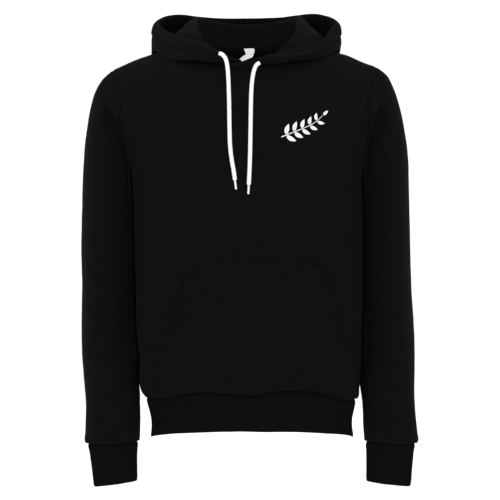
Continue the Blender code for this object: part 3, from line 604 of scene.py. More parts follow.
def mathNode(tree, operation, *values):
    made = tree.nodes.new("ShaderNodeMath")
    made.operation = operation
    for socket, value in zip(made.inputs, values):
        if isinstance(value, (int, float)):
            socket.default_value = value
        else:
            tree.links.new(value, socket)
    return made.outputs[0]


def noiseNode(tree, place, scale, detail=4.0, roughness=0.6):
    made = tree.nodes.new("ShaderNodeTexNoise")
    made.inputs["Detail"].default_value = detail
    made.inputs["Roughness"].default_value = roughness
    tree.links.new(place, made.inputs["Vector"])
    if isinstance(scale, (int, float)):
        made.inputs["Scale"].default_value = scale
    else:
        tree.links.new(scale, made.inputs["Scale"])
    return made.outputs["Fac"]


def stretchedPlace(tree, stretch):
    made = tree.nodes.new("ShaderNodeMapping")
    made.inputs["Scale"].default_value = stretch
    tree.links.new(tree.nodes.new("ShaderNodeTexCoord").outputs["Object"], made.inputs["Vector"])
    return made.outputs["Vector"]


def brushedNap():
    # short raised fibres, laid a little downwards, over the soft cloudiness of brushed cotton
    group, given, out = nodeGroup(
        "brushedNap", {"Fibre Scale": 900.0, "Cloud Scale": 20.0, "Cloudiness": 0.5}, ("Shade", "Height"))
    laid = stretchedPlace(group, (1, 1, 0.55))
    fibre = noiseNode(group, laid, given["Fibre Scale"], detail=5.0, roughness=0.7)
    cloud = noiseNode(group, stretchedPlace(group, (1, 1, 1)), given["Cloud Scale"])
    swing = mathNode(group, "MULTIPLY", mathNode(group, "SUBTRACT", cloud, 0.5), given["Cloudiness"])
    group.links.new(mathNode(group, "ADD", fibre, swing), out["Shade"])
    group.links.new(fibre, out["Height"])
    return group


def paintedEdgeHighlight():
    # painted highlight: paler where the cloth turns out over folds and edges, worked out from the shape
    # itself, standing in for light that catches them
    group, given, out = nodeGroup("paintedEdgeHighlight", {"Shade": 0.5, "Highlight": 0.5}, ("Shade",))
    bend = mathNode(group, "SUBTRACT", group.nodes.new("ShaderNodeNewGeometry").outputs["Pointiness"], 0.5)
    raised = mathNode(group, "MULTIPLY", mathNode(group, "MAXIMUM", bend, 0.0), given["Highlight"])
    group.links.new(mathNode(group, "ADD", given["Shade"], raised), out["Shade"])
    return group


def fineKnit():
    # upright wales of small loops, for a knitted face between its ribs
    loopLean, courseShare = 0.9, 0.5
    group, given, out = nodeGroup("fineKnit", {"Wales": 2400.0, "Courses": 1900.0}, ("Height",))
    place = group.nodes.new("ShaderNodeSeparateXYZ")
    group.links.new(stretchedPlace(group, (1, 1, 1)), place.inputs[0])
    across = mathNode(group, "ADD", place.outputs["X"], place.outputs["Y"])
    wale = mathNode(group, "SINE", mathNode(group, "MULTIPLY", across, given["Wales"]))
    lean = mathNode(group, "MULTIPLY", mathNode(group, "ABSOLUTE", wale), loopLean)
    rise = mathNode(group, "ADD", mathNode(group, "MULTIPLY", place.outputs["Z"], given["Courses"]), lean)
    loop = mathNode(group, "SINE", rise)
    course = mathNode(group, "MULTIPLY", loop, courseShare)
    both = mathNode(group, "ADD", mathNode(group, "ABSOLUTE", wale), course)
    group.links.new(mathNode(group, "MULTIPLY", both, 0.5), out["Height"])
    return group


groups = {"brushedNap": brushedNap(), "paintedEdgeHighlight": paintedEdgeHighlight(), "fineKnit": fineKnit()}

# Each cloth: its darkest and palest colour, how rough it is, how strong and deep its bump is, its nap, how
# much painted highlight it gets where it turns out, and its knit or weave if it shows one.
clothLooks = {
    "blackFleece": {"dark": [0.0018] * 3, "light": [0.0058] * 3, "roughness": (0.88, 1.0),
                    "specular": 0.015, "sheen": 0.01, "sheenRoughness": 0.55, "bump": 0.5, "deep": 0.35 * mm,
                    "nap": (1000.0, 55.0, 0.6), "edgeHighlight": 0.4},
    "blackRib": {"dark": [0.0017] * 3, "light": [0.0054] * 3, "roughness": (0.85, 0.98),
                 "specular": 0.015, "sheen": 0.008, "sheenRoughness": 0.5, "bump": 0.45, "deep": 0.25 * mm,
                 "nap": (1500.0, 22.0, 0.4), "edgeHighlight": 1.2, "knit": (4400.0, 2600.0)},
    "blackTwill": {"dark": [0.0028] * 3, "light": [0.0085] * 3, "roughness": (0.75, 0.9),
                   "specular": 0.1, "sheen": 0.02, "sheenRoughness": 0.4, "bump": 0.5, "deep": 0.2 * mm,
                   "nap": (2200.0, 60.0, 0.2), "edgeHighlight": 0.5, "knit": (3200.0, 5200.0)},
    "blackThread": {"dark": [0.0019] * 3, "light": [0.0062] * 3, "roughness": (0.5, 0.7),
                    "specular": 0.03, "sheen": 0.01, "sheenRoughness": 0.4, "bump": 0.4, "deep": 0.1 * mm,
                    "nap": (2600.0, 70.0, 0.2), "edgeHighlight": 0.0},
    "whiteSatin": {"dark": (0.70, 0.70, 0.69), "light": (0.86, 0.86, 0.85), "roughness": (0.4, 0.6),
                   "specular": 0.4, "sheen": 0.1, "sheenRoughness": 0.3, "bump": 0.3, "deep": 0.12 * mm,
                   "nap": (1900.0, 60.0, 0.2), "edgeHighlight": 0.3, "knit": (6000.0, 9000.0)},
    "whiteCord": {"dark": (0.66, 0.66, 0.65), "light": (0.92, 0.92, 0.91), "roughness": (0.75, 0.92),
                  "specular": 0.3, "sheen": 0.15, "sheenRoughness": 0.5, "bump": 0.5, "deep": 0.15 * mm,
                  "nap": (2100.0, 90.0, 0.3), "edgeHighlight": 2.5},
    "whitePrint": {"dark": [0.74] * 3, "light": [0.88] * 3, "roughness": (0.55, 0.75),
                   "specular": 0.3, "sheen": 0.0, "sheenRoughness": 0.5, "bump": 0.4, "deep": 0.1 * mm,
                   "nap": (1000.0, 40.0, 0.3), "edgeHighlight": 0.0},
}
knitShare = 0.6  # how much of a knit's height is added to its nap's


def clothMaterial(name):
    look = clothLooks[name]
    material = bpy.data.materials.new(name)
    material.use_nodes = True
    tree = material.node_tree
    shader = tree.nodes["Principled BSDF"]
    shader.inputs["Sheen Weight"].default_value = look["sheen"]
    shader.inputs["Sheen Roughness"].default_value = look["sheenRoughness"]
    shader.inputs["Specular IOR Level"].default_value = look["specular"]

    def placed(group, labels, values):
        node = tree.nodes.new("ShaderNodeGroup")
        node.node_tree = groups[group]
        for label, value in zip(labels, values):
            node.inputs[label].default_value = value
        return node

    nap = placed("brushedNap", ("Fibre Scale", "Cloud Scale", "Cloudiness"), look["nap"])
    # a painted highlight lightens the colour where edges and folds turn out
    highlighted = placed("paintedEdgeHighlight", ("Highlight",), (look["edgeHighlight"],))
    tree.links.new(nap.outputs["Shade"], highlighted.inputs["Shade"])
    tint = tree.nodes.new("ShaderNodeMix")
    tint.data_type = "RGBA"
    tint.clamp_factor = True
    tint.inputs["A"].default_value = (*look["dark"], 1)
    tint.inputs["B"].default_value = (*look["light"], 1)
    tree.links.new(highlighted.outputs["Shade"], tint.inputs["Factor"])
    tree.links.new(tint.outputs["Result"], shader.inputs["Base Color"])
    low, high = look["roughness"]
    rough = mathNode(tree, "MULTIPLY_ADD", nap.outputs["Height"], high - low, low)
    tree.links.new(rough, shader.inputs["Roughness"])
    height = nap.outputs["Height"]
    if "knit" in look:
        knit = placed("fineKnit", ("Wales", "Courses"), look["knit"])
        height = mathNode(tree, "MULTIPLY_ADD", knit.outputs["Height"], knitShare, height)
    bump = tree.nodes.new("ShaderNodeBump")
    bump.inputs["Strength"].default_value = look["bump"]
    bump.inputs["Distance"].default_value = look["deep"]
    tree.links.new(height, bump.inputs["Height"])
    tree.links.new(bump.outputs["Normal"], shader.inputs["Normal"])
    return material


materials = {name: clothMaterial(name) for name in clothLooks}
print("materials made")


# straight on from the front, level with the middle of the hoodie
mainView = {"away": 3.2, "middle": (5.3 * mm, -368 * mm), "width": 0.885, "sensor": 36}


def mainCamera():
    lens = bpy.data.cameras.new("mainCamera")
    lens.sensor_width = mainView["sensor"]
    lens.lens = mainView["sensor"] * mainView["away"] / mainView["width"]
    thing = bpy.data.objects.new("mainCamera", lens)
    thing.location = (mainView["middle"][0], -mainView["away"], mainView["middle"][1])
    thing.rotation_euler = (math.pi / 2, 0, 0)
    bpy.context.scene.collection.objects.link(thing)
    bpy.context.scene.camera = thing


mainCamera()

# The braided cord, its bound tips, and the way of each free end from the hood's hem to its tip, in mm.
drawcord = {
    "diameter": 7 * mm, "sides": 40, "step": 0.55 * mm, "strands": 8, "pitch": 3.2 * mm,
    "relief": 0.3 * mm, "sunk": 0.6, "lean": 0.75, "shoulder": 3.2 * mm, "reliefAtTip": 0.3,
    "tipRadius": 1.9 * mm, "tipLength": 15 * mm, "tipGap": 0.4 * mm, "tipSides": 20, "tipRound": 1.2 * mm,
    "windings": 0.75 * mm, "windingSteps": 5, "windingRelief": 0.14 * mm, "overTip": 1.02, "spanSteps": 5,
    "right": (
        (-47.5, -101.9, -31.0), (-43.6, -102.8, -32.4), (-39.4, -103.4, -35.8), (-36.2, -103.4, -41.5),
        (-34.2, -103.0, -49.0), (-32.9, -102.8, -58.5), (-31.9, -103.2, -72.0), (-31.1, -105.4, -91.5),
        (-30.4, -110.8, -113.0), (-30.0, -115.7, -136.0), (-29.6, -118.3, -161.0), (-28.8, -119.6, -187.0),
        (-27.0, -119.8, -206.0), (-24.7, -119.8, -221.0), (-22.0, -119.9, -236.0), (-20.3, -119.9, -249.5),
    ),
    "left": (
        (21.5, -98.6, -47.0), (17.9, -99.6, -49.2), (15.0, -100.3, -53.0), (12.6, -100.9, -58.8),
        (10.6, -101.4, -67.0), (8.9, -102.6, -79.0), (7.6, -107.2, -95.0), (7.0, -111.6, -113.0),
        (6.6, -116.0, -135.0), (6.2, -118.8, -160.0), (5.8, -120.0, -185.0), (5.3, -120.4, -208.0),
        (4.5, -120.3, -232.0), (3.2, -120.3, -257.5),
    ),
}


# a closed tube whose radius is worked out from the distance run and the turn round it
def tubeMesh(name, line, step, sides, radiusAt):
    length = lineLength(line)
    runs = np.linspace(0, length, max(4, int(length / step)))
    centres = along(line, runs)
    ways = unit(np.gradient(centres, axis=0))
    out = unit(np.cross(ways[0], (1.0, 0.0, 0.0)))
    turns = np.arange(sides) * 2 * math.pi / sides
    places = [centres[0]]
    for centre, way, run in zip(centres, ways, runs):
        out = unit(out - way * (out @ way))
        across = np.cross(way, out)
        reach = radiusAt(run, turns)[:, None]
        places += list(centre + reach * (np.cos(turns)[:, None] * out + np.sin(turns)[:, None] * across))
    places.append(centres[-1])
    faces = []
    count = len(runs)
    for k in range(sides):
        n = (k + 1) % sides
        faces.append((0, 1 + n, 1 + k))
        faces.append((len(places) - 1, 1 + (count - 1) * sides + k, 1 + (count - 1) * sides + n))
        for r in range(count - 1):
            base = 1 + r * sides
            faces.append((base + k, base + n, base + sides + n, base + sides + k))
    return meshOf(name, places, faces)


def braidedRadius(run, turns, length):
    column = turns * drawcord["strands"] / (2 * math.pi)
    within = column - np.floor(column) - 0.5
    lean = np.where(np.floor(column) % 2 == 0, 1, -1) * drawcord["lean"]
    plait = 0.5 + 0.5 * np.cos(2 * math.pi * (run / drawcord["pitch"] + lean * within))
    relief = drawcord["relief"] * plait * np.cos(math.pi * within) ** 0.5
    left = min(max((length - run) / drawcord["shoulder"], 0.0), 1.0)
    full = drawcord["diameter"] / 2 - drawcord["relief"] * drawcord["sunk"]
    slim = drawcord["tipRadius"] * drawcord["overTip"]
    relief *= drawcord["reliefAtTip"] + (1 - drawcord["reliefAtTip"]) * left
    return slim + (full - slim) * math.sqrt(1 - (1 - left) ** 2) + relief


def boundRadius(run, turns, length):
    spiral = np.cos(2 * math.pi * run / drawcord["windings"] + turns)
    end = min(max((length - run) / drawcord["tipRound"], 0.0), 1.0)
    body = drawcord["tipRadius"] - drawcord["windingRelief"]
    return body * math.sqrt(max(1 - (1 - end) ** 2, 0.02)) + drawcord["windingRelief"] * spiral * end


def drawcordEnd(side):
    line = smoothed(np.array(drawcord[side])[:, None, :] * mm, drawcord["spanSteps"])[:, 0]
    length = lineLength(line)
    end = unit(line[-1] - line[-2])
    start = line[-1] + end * drawcord["tipGap"]
    tipLine = np.array([start, start + end * drawcord["tipLength"]])
    tipStep = drawcord["windings"] / drawcord["windingSteps"]
    tipMesh = tubeMesh("boundTip", tipLine, tipStep, drawcord["tipSides"],
                       lambda run, turns: boundRadius(run, turns, drawcord["tipLength"]))
    tip = newObject("boundTip" + side.title(), tipMesh, materials["whiteCord"])
    cordMesh = tubeMesh("drawcord", line, drawcord["step"], drawcord["sides"],
                        lambda run, turns: braidedRadius(run, turns, length))
    cord = newObject("drawcord" + side.title(), cordMesh, materials["whiteCord"])
    for piece, node in ((cord, "cord_" + side), (tip, "cord_tip_" + side)):
        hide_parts(node)
    return line


cordLines = {side: drawcordEnd(side) for side in ("left", "right")}
print("cords made")


# a surface of one or more grids, to find the nearest place on or to cast a ray at
def gridTree(*grids):
    places, faces = [], []
    for grid in grids:
        rows, columns = grid.shape[:2]
        faces += gridFaces(rows, columns, len(places))
        places += [Vector(place) for place in grid.reshape(-1, 3)]
    return BVHTree.FromPolygons(places, faces)


# the first place that a view from the front meets, and the way out of the cloth there
def frontHit(tree, x, z):
    hit, out, _, _ = tree.ray_cast(Vector((x, -0.4, z)), Vector((0, 1, 0)))
    return hit, out


# moves a wall by an amount out of the cloth, the inside following by a share
def swollen(outer, inner, closed, amount, share=0.5):
    out = gridNormals(outer, closed)
    out *= np.sign(((outer - inner) * out).sum())
    return outer + out * amount[..., None], inner + out * (amount * share)[..., None]


pinchWidth = 3 * mm


# the cloth pulled in along its seams
def pinched(outer, inner, piece):
    sunk = np.zeros(outer.shape[:2])
    for edge, depth in piece["seams"].items():
        sunk = np.maximum(sunk, fading(insetFrom(outer, edge), 0, pinchWidth) * depth)
    return swollen(outer, inner, "columns" in piece, -sunk, 0.0)


# Rounded upright ribs with narrow valleys, shallower at the seam and over the folded end. The spans are
# shares of the piece's height.
def ribbed(outer, inner, piece):
    rows, columns = outer.shape[:2]
    ribs = np.abs(np.cos(math.pi * piece["ribs"] * np.arange(columns) / columns))
    down = np.linspace(0, 1, rows)
    least = piece["ribEnds"]
    full = least + (1 - least) * rising(down, (0, 0.12)) * rising(down, (1.06, 0.92))
    return swollen(outer, inner, True, piece["ribDepth"] * (ribs - piece["valley"]) * full[:, None])


def bodyTree():
    return gridTree(surfaces["frontPanel"][0], surfaces["backPanel"][0])


# parts of the hood that fall lower, kept off the body
def fallen(outer, inner, piece):
    body = bodyTree()
    place = outer / mm
    rim = ease(1 - insetFrom(outer, "top") / piece["rimFade"])
    moved = outer.copy()
    for by, middle, reach, onRim in piece["falls"]:
        weight = around(place, middle, reach) * rising(place[..., 1], piece["fallFront"])
        weight = weight * rim if onRim else weight
        moved += weight[..., None] * np.array(by) * mm
    for r, c in np.argwhere(np.linalg.norm(moved - outer, axis=-1) > piece["leastFall"]):
        near, out, _, _ = body.find_nearest(Vector(moved[r, c]))
        near, out = np.array(near), np.array(out)
        out *= np.sign(out @ (near[0], near[1], 0.15))  # outwards, or upwards on the shoulders
        short = piece["offBody"] - (moved[r, c] - near) @ out
        if 0 < short < piece["deepest"]:
            moved[r, c] += out * short
    return moved, inner + (moved - outer)


# the hood's hem is a channel for the cord, stitched down along its inner side
def hoodHem(outer, inner, piece):
    outer, inner = fallen(outer, inner, piece)
    away = insetFrom(outer, "top")
    down = np.clip(away / piece["hem"], 0, 1) ** piece["channelLean"]
    channel = np.sin(np.pi * down) * piece["channel"]
    outer, inner = swollen(outer, inner, False, channel, piece["inside"])
    stitched = fading(away, piece["hem"], piece["stitchWidth"]) * piece["stitchDepth"]
    centre = fading(insetFrom(outer, "last"), 0, piece["seamWidth"]) * piece["seamDepth"]
    outer, inner = swollen(outer, inner, False, -stitched - centre, piece["inside"])
    if "meets" in piece:  # the two halves share one line along the centre seam
        for grid, other in zip((outer, inner), surfaces[piece["meets"]]):
            gap = other[:, -1] - grid[:, -1]
            for k, share in ((1, 1), (2, 0.6), (3, 0.25)):
                grid[:, -k] += gap * share
    return outer, inner


# moves parts of the pocket's edge, keeping the pocket as far off the front as it was
def pulledPocket(grid, piece):
    front = gridTree(surfaces["frontPanel"][0])

    def frontAt(place):
        hit, _ = frontHit(front, place[0], place[2])
        return hit.y if hit else place[1]

    places = grid.reshape(-1, 3).copy()
    shift = np.zeros((len(places), 2))
    for by, middle, reach in piece["pulls"]:
        shift += np.outer(around(places / mm, middle, reach), by)
    shift *= rising(places[:, 2] / mm, piece["aboveSeam"])[:, None]
    for k in np.flatnonzero(np.abs(shift).sum(axis=1) > 0.05):
        off = places[k, 1] - frontAt(places[k])
        places[k, [0, 2]] += shift[k] * mm
        places[k, 1] = frontAt(places[k]) + off
    return places.reshape(grid.shape)


def pocketEdges(outer, inner, piece):
    outer, inner = pulledPocket(outer, piece), pulledPocket(inner, piece)
    sunk, lift = np.zeros(outer.shape[:2]), np.zeros(outer.shape[:2])
    opening = np.sin(np.pi * np.clip(np.linspace(0, 1, len(outer)) / piece["mouthEnd"], 0, 1))[:, None]
    for edge in ("first", "last"):
        away = insetFrom(outer, edge)
        lift += ease(1 - away / piece["liftWidth"]) * opening * piece["lift"]
        for inset in piece["mouthRows"]:
            sunk += fading(away, inset, piece["stitchWidth"])
    sunk += fading(insetFrom(outer, "top"), piece["topRow"], piece["stitchWidth"])
    outer, inner = swollen(outer, inner, False, lift, 1.0)
    return swollen(outer, inner, False, -sunk * piece["stitchDepth"], 0.0)


# The sleeve hangs against the side of the body, within the heights and depths that its settings give, fully
# from where it is near enough.
def restsOnBody(outer, inner, piece):
    body = bodyTree()
    moved = outer.reshape(-1, 3).copy()
    weight = ease(insetFrom(outer, "top").reshape(-1) / piece["offSeam"])
    for axis, key in ((2, "restTop"), (2, "restBottom"), (1, "restFront"), (1, "restBack")):
        weight = weight * rising(moved[:, axis] / mm, piece[key])
    for k in np.flatnonzero(weight):
        start = moved[k]
        near, _, _, away = body.find_nearest(Vector(start), piece["nearby"][0])
        if near is None:
            continue
        near = np.array(near)
        wanted = away + (piece["clear"] - away) * weight[k] * rising(away, piece["nearby"])
        moved[k] = near + (start - near) / max(away, 1e-6) * wanted
    moved = moved.reshape(outer.shape)
    return moved, inner + (moved - outer)


# The cut pieces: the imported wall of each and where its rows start, how finely it is made, its finish, the
# size of its cut, and how deep its seams sink. Pieces of one kind share the settings that come first.
fleece = {"cloth": "blackFleece", "slot": "black_fleece"}
bodyPanel = {**fleece, "start": (-1, 0, 0), "along": (0, 0, 1),
             "seams": {"top": 1.5 * mm, "bottom": 1.6 * mm, "first": 1.5 * mm, "last": 1.5 * mm}}
sleeve = {**fleece, "start": (0, 0, 1), "along": (0, -1, 0), "columns": 22,
          "steps": ([16] + [11] * 4 + [7] * 11 + [12], [11] * 9 + [5] * 13), "flat": (0.48, 0.68),
          "area": 0.2, "seams": {"top": 1.6 * mm, "bottom": 1.8 * mm}, "shape": restsOnBody,
          "clear": 1.0 * mm, "offSeam": 3 * mm, "nearby": (45 * mm, 20 * mm), "restTop": (-194, -205),
          "restBottom": (-640, -595), "restFront": (-14, 4), "restBack": (84, 44)}
hoodHalf = {**fleece, "start": (0, -1, -1), "steps": ([12, 10] + [6] * 15, 6), "flat": (0.36, 0.40),
            "area": 0.094, "bulges": (0.5, 0.3, 0.3), "shape": hoodHem, "hem": 24 * mm, "channel": 2.8 * mm,
            "channelLean": 0.7, "inside": -0.6, "stitchDepth": 1.2 * mm, "stitchWidth": 1.8 * mm,
            "seamDepth": 0.5 * mm, "seamWidth": 2.5 * mm, "rimFade": 45 * mm, "offBody": 1.5 * mm,
            "deepest": 20 * mm, "leastFall": 0.3 * mm, "fallFront": (12, -28)}
ribPiece = {"cloth": "blackRib", "slot": "black_rib", "bulges": (0.6, 0.5, 0.3), "seams": {"top": 1.2 * mm},
            "shape": ribbed, "ribEnds": 0.35, "valley": 0.6}
cuff = {**ribPiece, "along": (0, -1, 0), "columns": 22, "steps": (3, 24), "flat": (0.21, 0.075),
        "area": 0.0148, "ribs": 66, "ribDepth": 0.65 * mm}
cutPieces = {
    "frontPanel": {**bodyPanel, "node": "front", "steps": ([12] + [6] * 21 + [14], [12] + [6] * 22 + [12]),
                   "flat": (0.56, 0.69), "area": 0.315},
    "backPanel": {**bodyPanel, "node": "back", "steps": ([12] + [5] * 21 + [12], [12] + [5] * 22 + [12]),
                  "flat": (0.55, 0.70), "area": 0.318},
    "sleeveLeft": {**sleeve, "node": "sleeve_left"},
    "sleeveRight": {**sleeve, "node": "sleeve_right"},
    "hoodLeft": {**hoodHalf, "node": "hood_left", "along": (1, 0, 0),
                 "falls": (((0, -4, -21), (102, -5), (52, 60), True),
                           ((0, -1, -8), (150, -22), (34, 20), False))},
    "hoodRight": {**hoodHalf, "node": "hood_right", "along": (-1, 0, 0), "meets": "hoodLeft",
                  "falls": (((0, -2, -13), (-152, -22), (46, 20), False),)},
    "frontPocket": {**fleece, "node": "pocket", "start": (-0.35, 0, 1), "along": (1, 0, 0),
                    "steps": ([12] + [7] * 10, [14, 14, 12] + [6] * 18 + [12, 14, 14]), "flat": (0.37, 0.25),
                    "area": 0.073, "bulges": (0.5, 0.3, 0.5), "shape": pocketEdges,
                    "mouthRows": (3.6 * mm, 10 * mm), "topRow": 3 * mm, "stitchDepth": 1.4 * mm,
                    "stitchWidth": 1.5 * mm, "mouthEnd": 0.72, "lift": 2 * mm, "liftWidth": 16 * mm,
                    "aboveSeam": (-608, -563),
                    "pulls": (((3, -15), (190, -542), (55, 60)), ((-6, 0), (165, -500), (26, 38)))},
    "cuffLeft": {**cuff, "node": "cuff_left", "start": (0.4, 0, 1)},
    "cuffRight": {**cuff, "node": "cuff_right", "start": (-0.4, 0, 1)},
    "hemBand": {**ribPiece, "node": "hem_band", "start": (0, -1, 0.5), "along": (1, 0, 0), "columns": 48,
                "steps": (2, 42), "flat": (0.94, 0.07), "area": 0.062, "ribs": 336, "ribDepth": 0.6 * mm},
    "neckTape": {"node": "neck_tape", "start": (-1, 0, 0.5), "along": (1, 0, 0), "steps": (5, 10),
                 "cloth": "blackTwill", "slot": "black_rib", "flat": (0.195, 0.012), "area": 0.0018},
    "neckLabel": {"node": "neck_label", "start": (-0.3, 0, 1), "along": (1, 0, 0), "steps": (5, 8),
                  "cloth": "whiteSatin", "slot": "white_satin", "flat": (0.018, 0.045), "area": 0.0005},
}

surfaces = {}
for name, piece in cutPieces.items():
    closed = "columns" in piece
    walls = wallGrid(piece["node"], piece["start"], piece["along"], piece.get("columns"))
    outer, inner = (draped(finer(wall, *piece["steps"], closed)) for wall in walls)
    if "shape" in piece:
        outer, inner = piece["shape"](outer, inner, piece)
    if "seams" in piece:
        outer, inner = pinched(outer, inner, piece)
    surfaces[name] = (outer, inner)
    mesh = clothMesh(name, outer, inner, closed, piece.get("bulges", rimForm["bulges"]))
    cloth = newObject(name, mesh, materials[piece["cloth"]], 70)
    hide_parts(piece["node"])
    print(name, "made")


# Rows of machine stitches: the piece they hold down, on which of its faces, from which edge, how far in, and
# how far along if not the whole way.
def rowsOn(piece, faces, edges):
    return [(piece, face, edge, inset * mm) for edge, inset in edges.items() for face in faces]


stitchRows = {
    "pocketStitches": rowsOn("frontPocket", ("outer",), {"first": 3.6, "last": 3.6, "top": 3})
                      + [("frontPocket", "outer", "first", 10 * mm, 158 * mm),
                         ("frontPocket", "outer", "last", 10 * mm, 166 * mm)],
    "hoodStitchesLeft": rowsOn("hoodLeft", ("outer", "inner"), {"top": 24, "last": 4}),
    "hoodStitchesRight": rowsOn("hoodRight", ("outer", "inner"), {"top": 24, "last": 4}),
    "frontStitches": rowsOn("frontPanel", ("outer",), {"top": 5, "bottom": 4}),
    "backStitches": rowsOn("backPanel", ("outer",), {"top": 5, "bottom": 4}),
    "sleeveStitchesLeft": rowsOn("sleeveLeft", ("outer",), {"top": 4, "bottom": 4}),
    "sleeveStitchesRight": rowsOn("sleeveRight", ("outer",), {"top": 4, "bottom": 4}),
    "tapeStitches": rowsOn("neckTape", ("outer", "inner"), {"top": 1.6, "bottom": 1.6}),
}


def faceOf(name, face):
    outer, inner = surfaces[name]
    closed = "columns" in cutPieces[name]
    over, under = (outer, inner) if face == "outer" else (inner, outer)
    out = gridNormals(over, closed)
    out *= np.sign(((over - under) * out).sum())
    return over, out, closed


def stitchedPiece(name, starts, ends, outs, radius):
    mesh = stitchesMesh(name, np.concatenate(starts), np.concatenate(ends), np.concatenate(outs), radius)
    newObject(name, mesh, materials["blackThread"])


def seamStitches():
    for name, rows in stitchRows.items():
        starts, ends, outs = [], [], []
        for piece, face, edge, inset, *reach in rows:
            grid, out, closed = faceOf(piece, face)
            line, ways = insetLine(grid, out, edge, inset)
            if reach:
                runs = np.arange(0, reach[0], 1 * mm)
                line, ways = along(line, runs), along(line, runs, ways)
            if closed:
                line, ways = np.vstack([line, line[:1]]), np.vstack([ways, ways[:1]])
            for pile, found in zip((starts, ends, outs), stitchEnds(line, ways)):
                pile.append(found)
        stitchedPiece(name, starts, ends, outs, thread["radius"])


# close zigzag tacks that hold the ends of the pocket's mouths
barTacks = {"count": 14, "spread": 8 * mm, "half": 1.4 * mm, "radius": 0.36 * mm, "inset": 6.5 * mm,
            "places": {"first": (9 * mm, 153 * mm), "last": (9 * mm, 161 * mm)}}


def pocketTacks():
    grid, out, _ = faceOf("frontPocket", "outer")
    starts, ends, outs = [], [], []
    for edge, places in barTacks["places"].items():
        line, ways = insetLine(grid, out, edge, barTacks["inset"])
        for place in places:
            middle, way = along(line, [place])[0], along(line, [place], ways)[0]
            tangent = unit(along(line, [place + 1 * mm])[0] - middle)
            across = np.cross(tangent, unit(way))
            for k in range(barTacks["count"]):
                shift = (k / (barTacks["count"] - 1) - 0.5) * barTacks["spread"]
                centre = middle + across * shift
                starts.append([centre - tangent * barTacks["half"]])
                ends.append([centre + tangent * barTacks["half"]])
                outs.append([way])
    stitchedPiece("pocketTacks", starts, ends, outs, barTacks["radius"])


# a stitched round hole in the hem of the hood for each end of the cord
buttonhole = {"stitches": 34, "within": 3.7 * mm, "beyond": 6.2 * mm, "along": 2.5 * mm, "radius": 0.42 * mm}


def buttonholes():
    for side, piece in (("left", "hoodLeft"), ("right", "hoodRight")):
        tree = gridTree(surfaces[piece][0])
        leaves = cordLines[side][0]
        way = unit(cordLines[side][3] - leaves)
        near, out, _, _ = tree.find_nearest(Vector(leaves))
        out = np.array(out if out.y < 0 else -out)
        first = unit(way - out * (way @ out))
        second = np.cross(out, first)
        near = np.array(near) + first * buttonhole["along"]
        starts, ends, outs = [], [], []
        for k in range(buttonhole["stitches"]):
            turn = 2 * math.pi * k / buttonhole["stitches"]
            spoke = first * math.cos(turn) + second * math.sin(turn)
            for reach, pile in ((buttonhole["within"], starts), (buttonhole["beyond"], ends)):
                found, normal, _, _ = tree.find_nearest(Vector(near + spoke * reach))
                pile.append([np.array(found)])
            outs.append([out])
        stitchedPiece("buttonhole" + side.title(), starts, ends, outs, buttonhole["radius"])


# a plain leafy sprig printed on the wearer's left chest, in mm seen from the front
sprig = {"middle": (96, -158), "stem": ((-37, -17), (-18, -9), (4, 0), (22, 10), (34, 21)), "stemWidth": 1.5,
         "stemEnds": (1.0, 0.45), "stemSteps": 8, "leaves": 5, "lowest": 0.1, "length": (19, 12),
         "width": (7.4, 5), "spread": 52, "off": 1.4, "bow": 0.9, "edge": 0.15, "vein": 0.7, "veinTaper": 0.6,
         "proud": 0.12 * mm}


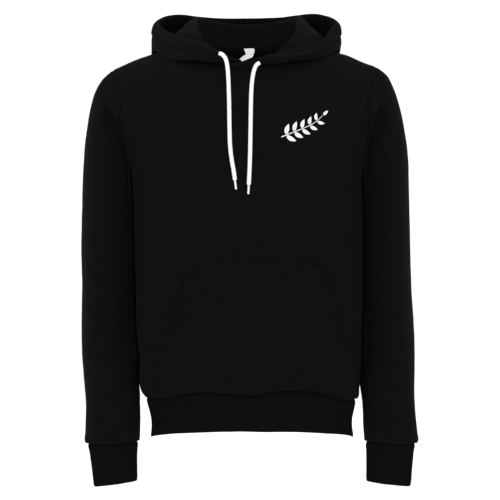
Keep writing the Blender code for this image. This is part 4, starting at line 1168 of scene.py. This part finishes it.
def printedSprig():
    tree = gridTree(surfaces["frontPanel"][0])
    stem = smoothed(np.array(sprig["stem"], float)[:, None, :], sprig["stemSteps"])[:, 0]
    stem3 = np.column_stack([stem, np.zeros(len(stem))])
    length = lineLength(stem3)
    patches = []

    ways = unit(np.gradient(stem, axis=0))
    across = np.column_stack([-ways[:, 1], ways[:, 0]])
    half = np.linspace(*sprig["stemEnds"], len(stem)) * sprig["stemWidth"] / 2
    patches.append(np.stack([stem + across * half[:, None] * s for s in (-1, -0.5, 0, 0.5, 1)], axis=1))
    slots = [(k, side) for k in range(sprig["leaves"]) for side in (-1, 1)] + [(sprig["leaves"], 0)]
    for k, side in slots:
        share = k / sprig["leaves"]
        run = length * (sprig["lowest"] + (1 - sprig["lowest"]) * share)
        root = along(stem3, [run])[0][:2]
        ahead = unit(along(stem3, [min(run + 1, length)])[0][:2] - along(stem3, [run - 1])[0][:2])
        turn = math.radians(sprig["spread"] * side)
        way = np.array([ahead[0] * math.cos(turn) - ahead[1] * math.sin(turn),
                        ahead[0] * math.sin(turn) + ahead[1] * math.cos(turn)])
        leafLength, leafWidth = (np.interp(share, (0, 1), sprig[key]) for key in ("length", "width"))
        t = np.linspace(0, 1, 15)
        wide = np.maximum(np.sin(np.pi * t ** 0.8) ** 0.85 * leafWidth / 2, sprig["edge"])
        normal = np.array([-way[1], way[0]])
        bow = np.outer(np.sin(np.pi * t) * sprig["bow"] * side, normal)
        centre = root + np.outer(sprig["off"] + t * leafLength, way) + bow
        for half in (-1, 1):
            inner = centre + normal * half * sprig["vein"] / 2 * (1 - t[:, None] * sprig["veinTaper"])
            outer = centre + normal * half * wide[:, None]
            patches.append(np.stack([inner + (outer - inner) * s for s in (0, 0.33, 0.67, 1)], axis=1))
    places, faces = [], []
    for patch in patches:
        faces += gridFaces(*patch.shape[:2], len(places))
        for x, z in patch.reshape(-1, 2):
            hit, out = frontHit(tree, (sprig["middle"][0] + x) * mm, (sprig["middle"][1] + z) * mm)
            out = out if out.y < 0 else -out
            places.append(hit + out * sprig["proud"])
    mesh = turnedOut(meshOf("chestSprig", places, faces), toFront=True)
    newObject("chestSprig", mesh, materials["whitePrint"])


seamStitches()
pocketTacks()
buttonholes()
printedSprig()
print("stitches, buttonholes and print made")


studio = {
    "white": 0.93, "roughness": 0.9, "floorHeight": -0.95, "floorReach": 14.0, "worldLight": 1.1,
    # each light's place, what it is aimed at, its width and height, and its power
    "lights": (
        ("keyLight", (-0.6, -1.9, 0.8), (0, 0, -0.2), (1.4, 1.2), 10.0),
        ("fillLight", (1.3, -3.1, 0.0), (0, 0, -0.4), (1.8, 2.0), 14.0),
        ("backLight", (0.6, 3.2, 0.6), (0, 0, -0.35), (2.2, 1.8), 20.0),
    ),
}


def floor():
    reach, height = studio["floorReach"], studio["floorHeight"]
    corners = [(x * reach, y * reach, height) for x, y in ((-1, -1), (1, -1), (1, 1), (-1, 1))]
    mesh = meshOf("studioFloor", corners, [(0, 1, 2, 3)])
    paper = bpy.data.materials.new("studioPaper")
    paper.use_nodes = True
    shader = paper.node_tree.nodes["Principled BSDF"]
    shader.inputs["Base Color"].default_value = (studio["white"],) * 3 + (1,)
    shader.inputs["Roughness"].default_value = studio["roughness"]
    mesh.materials.append(paper)
    thing = bpy.data.objects.new("studioFloor", mesh)
    bpy.context.scene.collection.objects.link(thing)


def lighting():
    for name, place, aim, size, power in studio["lights"]:
        light = bpy.data.lights.new(name, "AREA")
        light.shape = "RECTANGLE"
        light.size, light.size_y = size
        light.energy = power
        thing = bpy.data.objects.new(name, light)
        thing.location = place
        thing.rotation_mode = "QUATERNION"
        thing.rotation_quaternion = (Vector(aim) - Vector(place)).to_track_quat("-Z", "Y")
        bpy.context.scene.collection.objects.link(thing)
    world = bpy.data.worlds.new("studioRoom")
    world.use_nodes = True
    sky = world.node_tree.nodes["Background"]
    sky.inputs["Color"].default_value = (1, 1, 1, 1)
    sky.inputs["Strength"].default_value = studio["worldLight"]
    bpy.context.scene.world = world
    bpy.context.scene.view_settings.view_transform = "Standard"


floor()
lighting()
print("studio made")
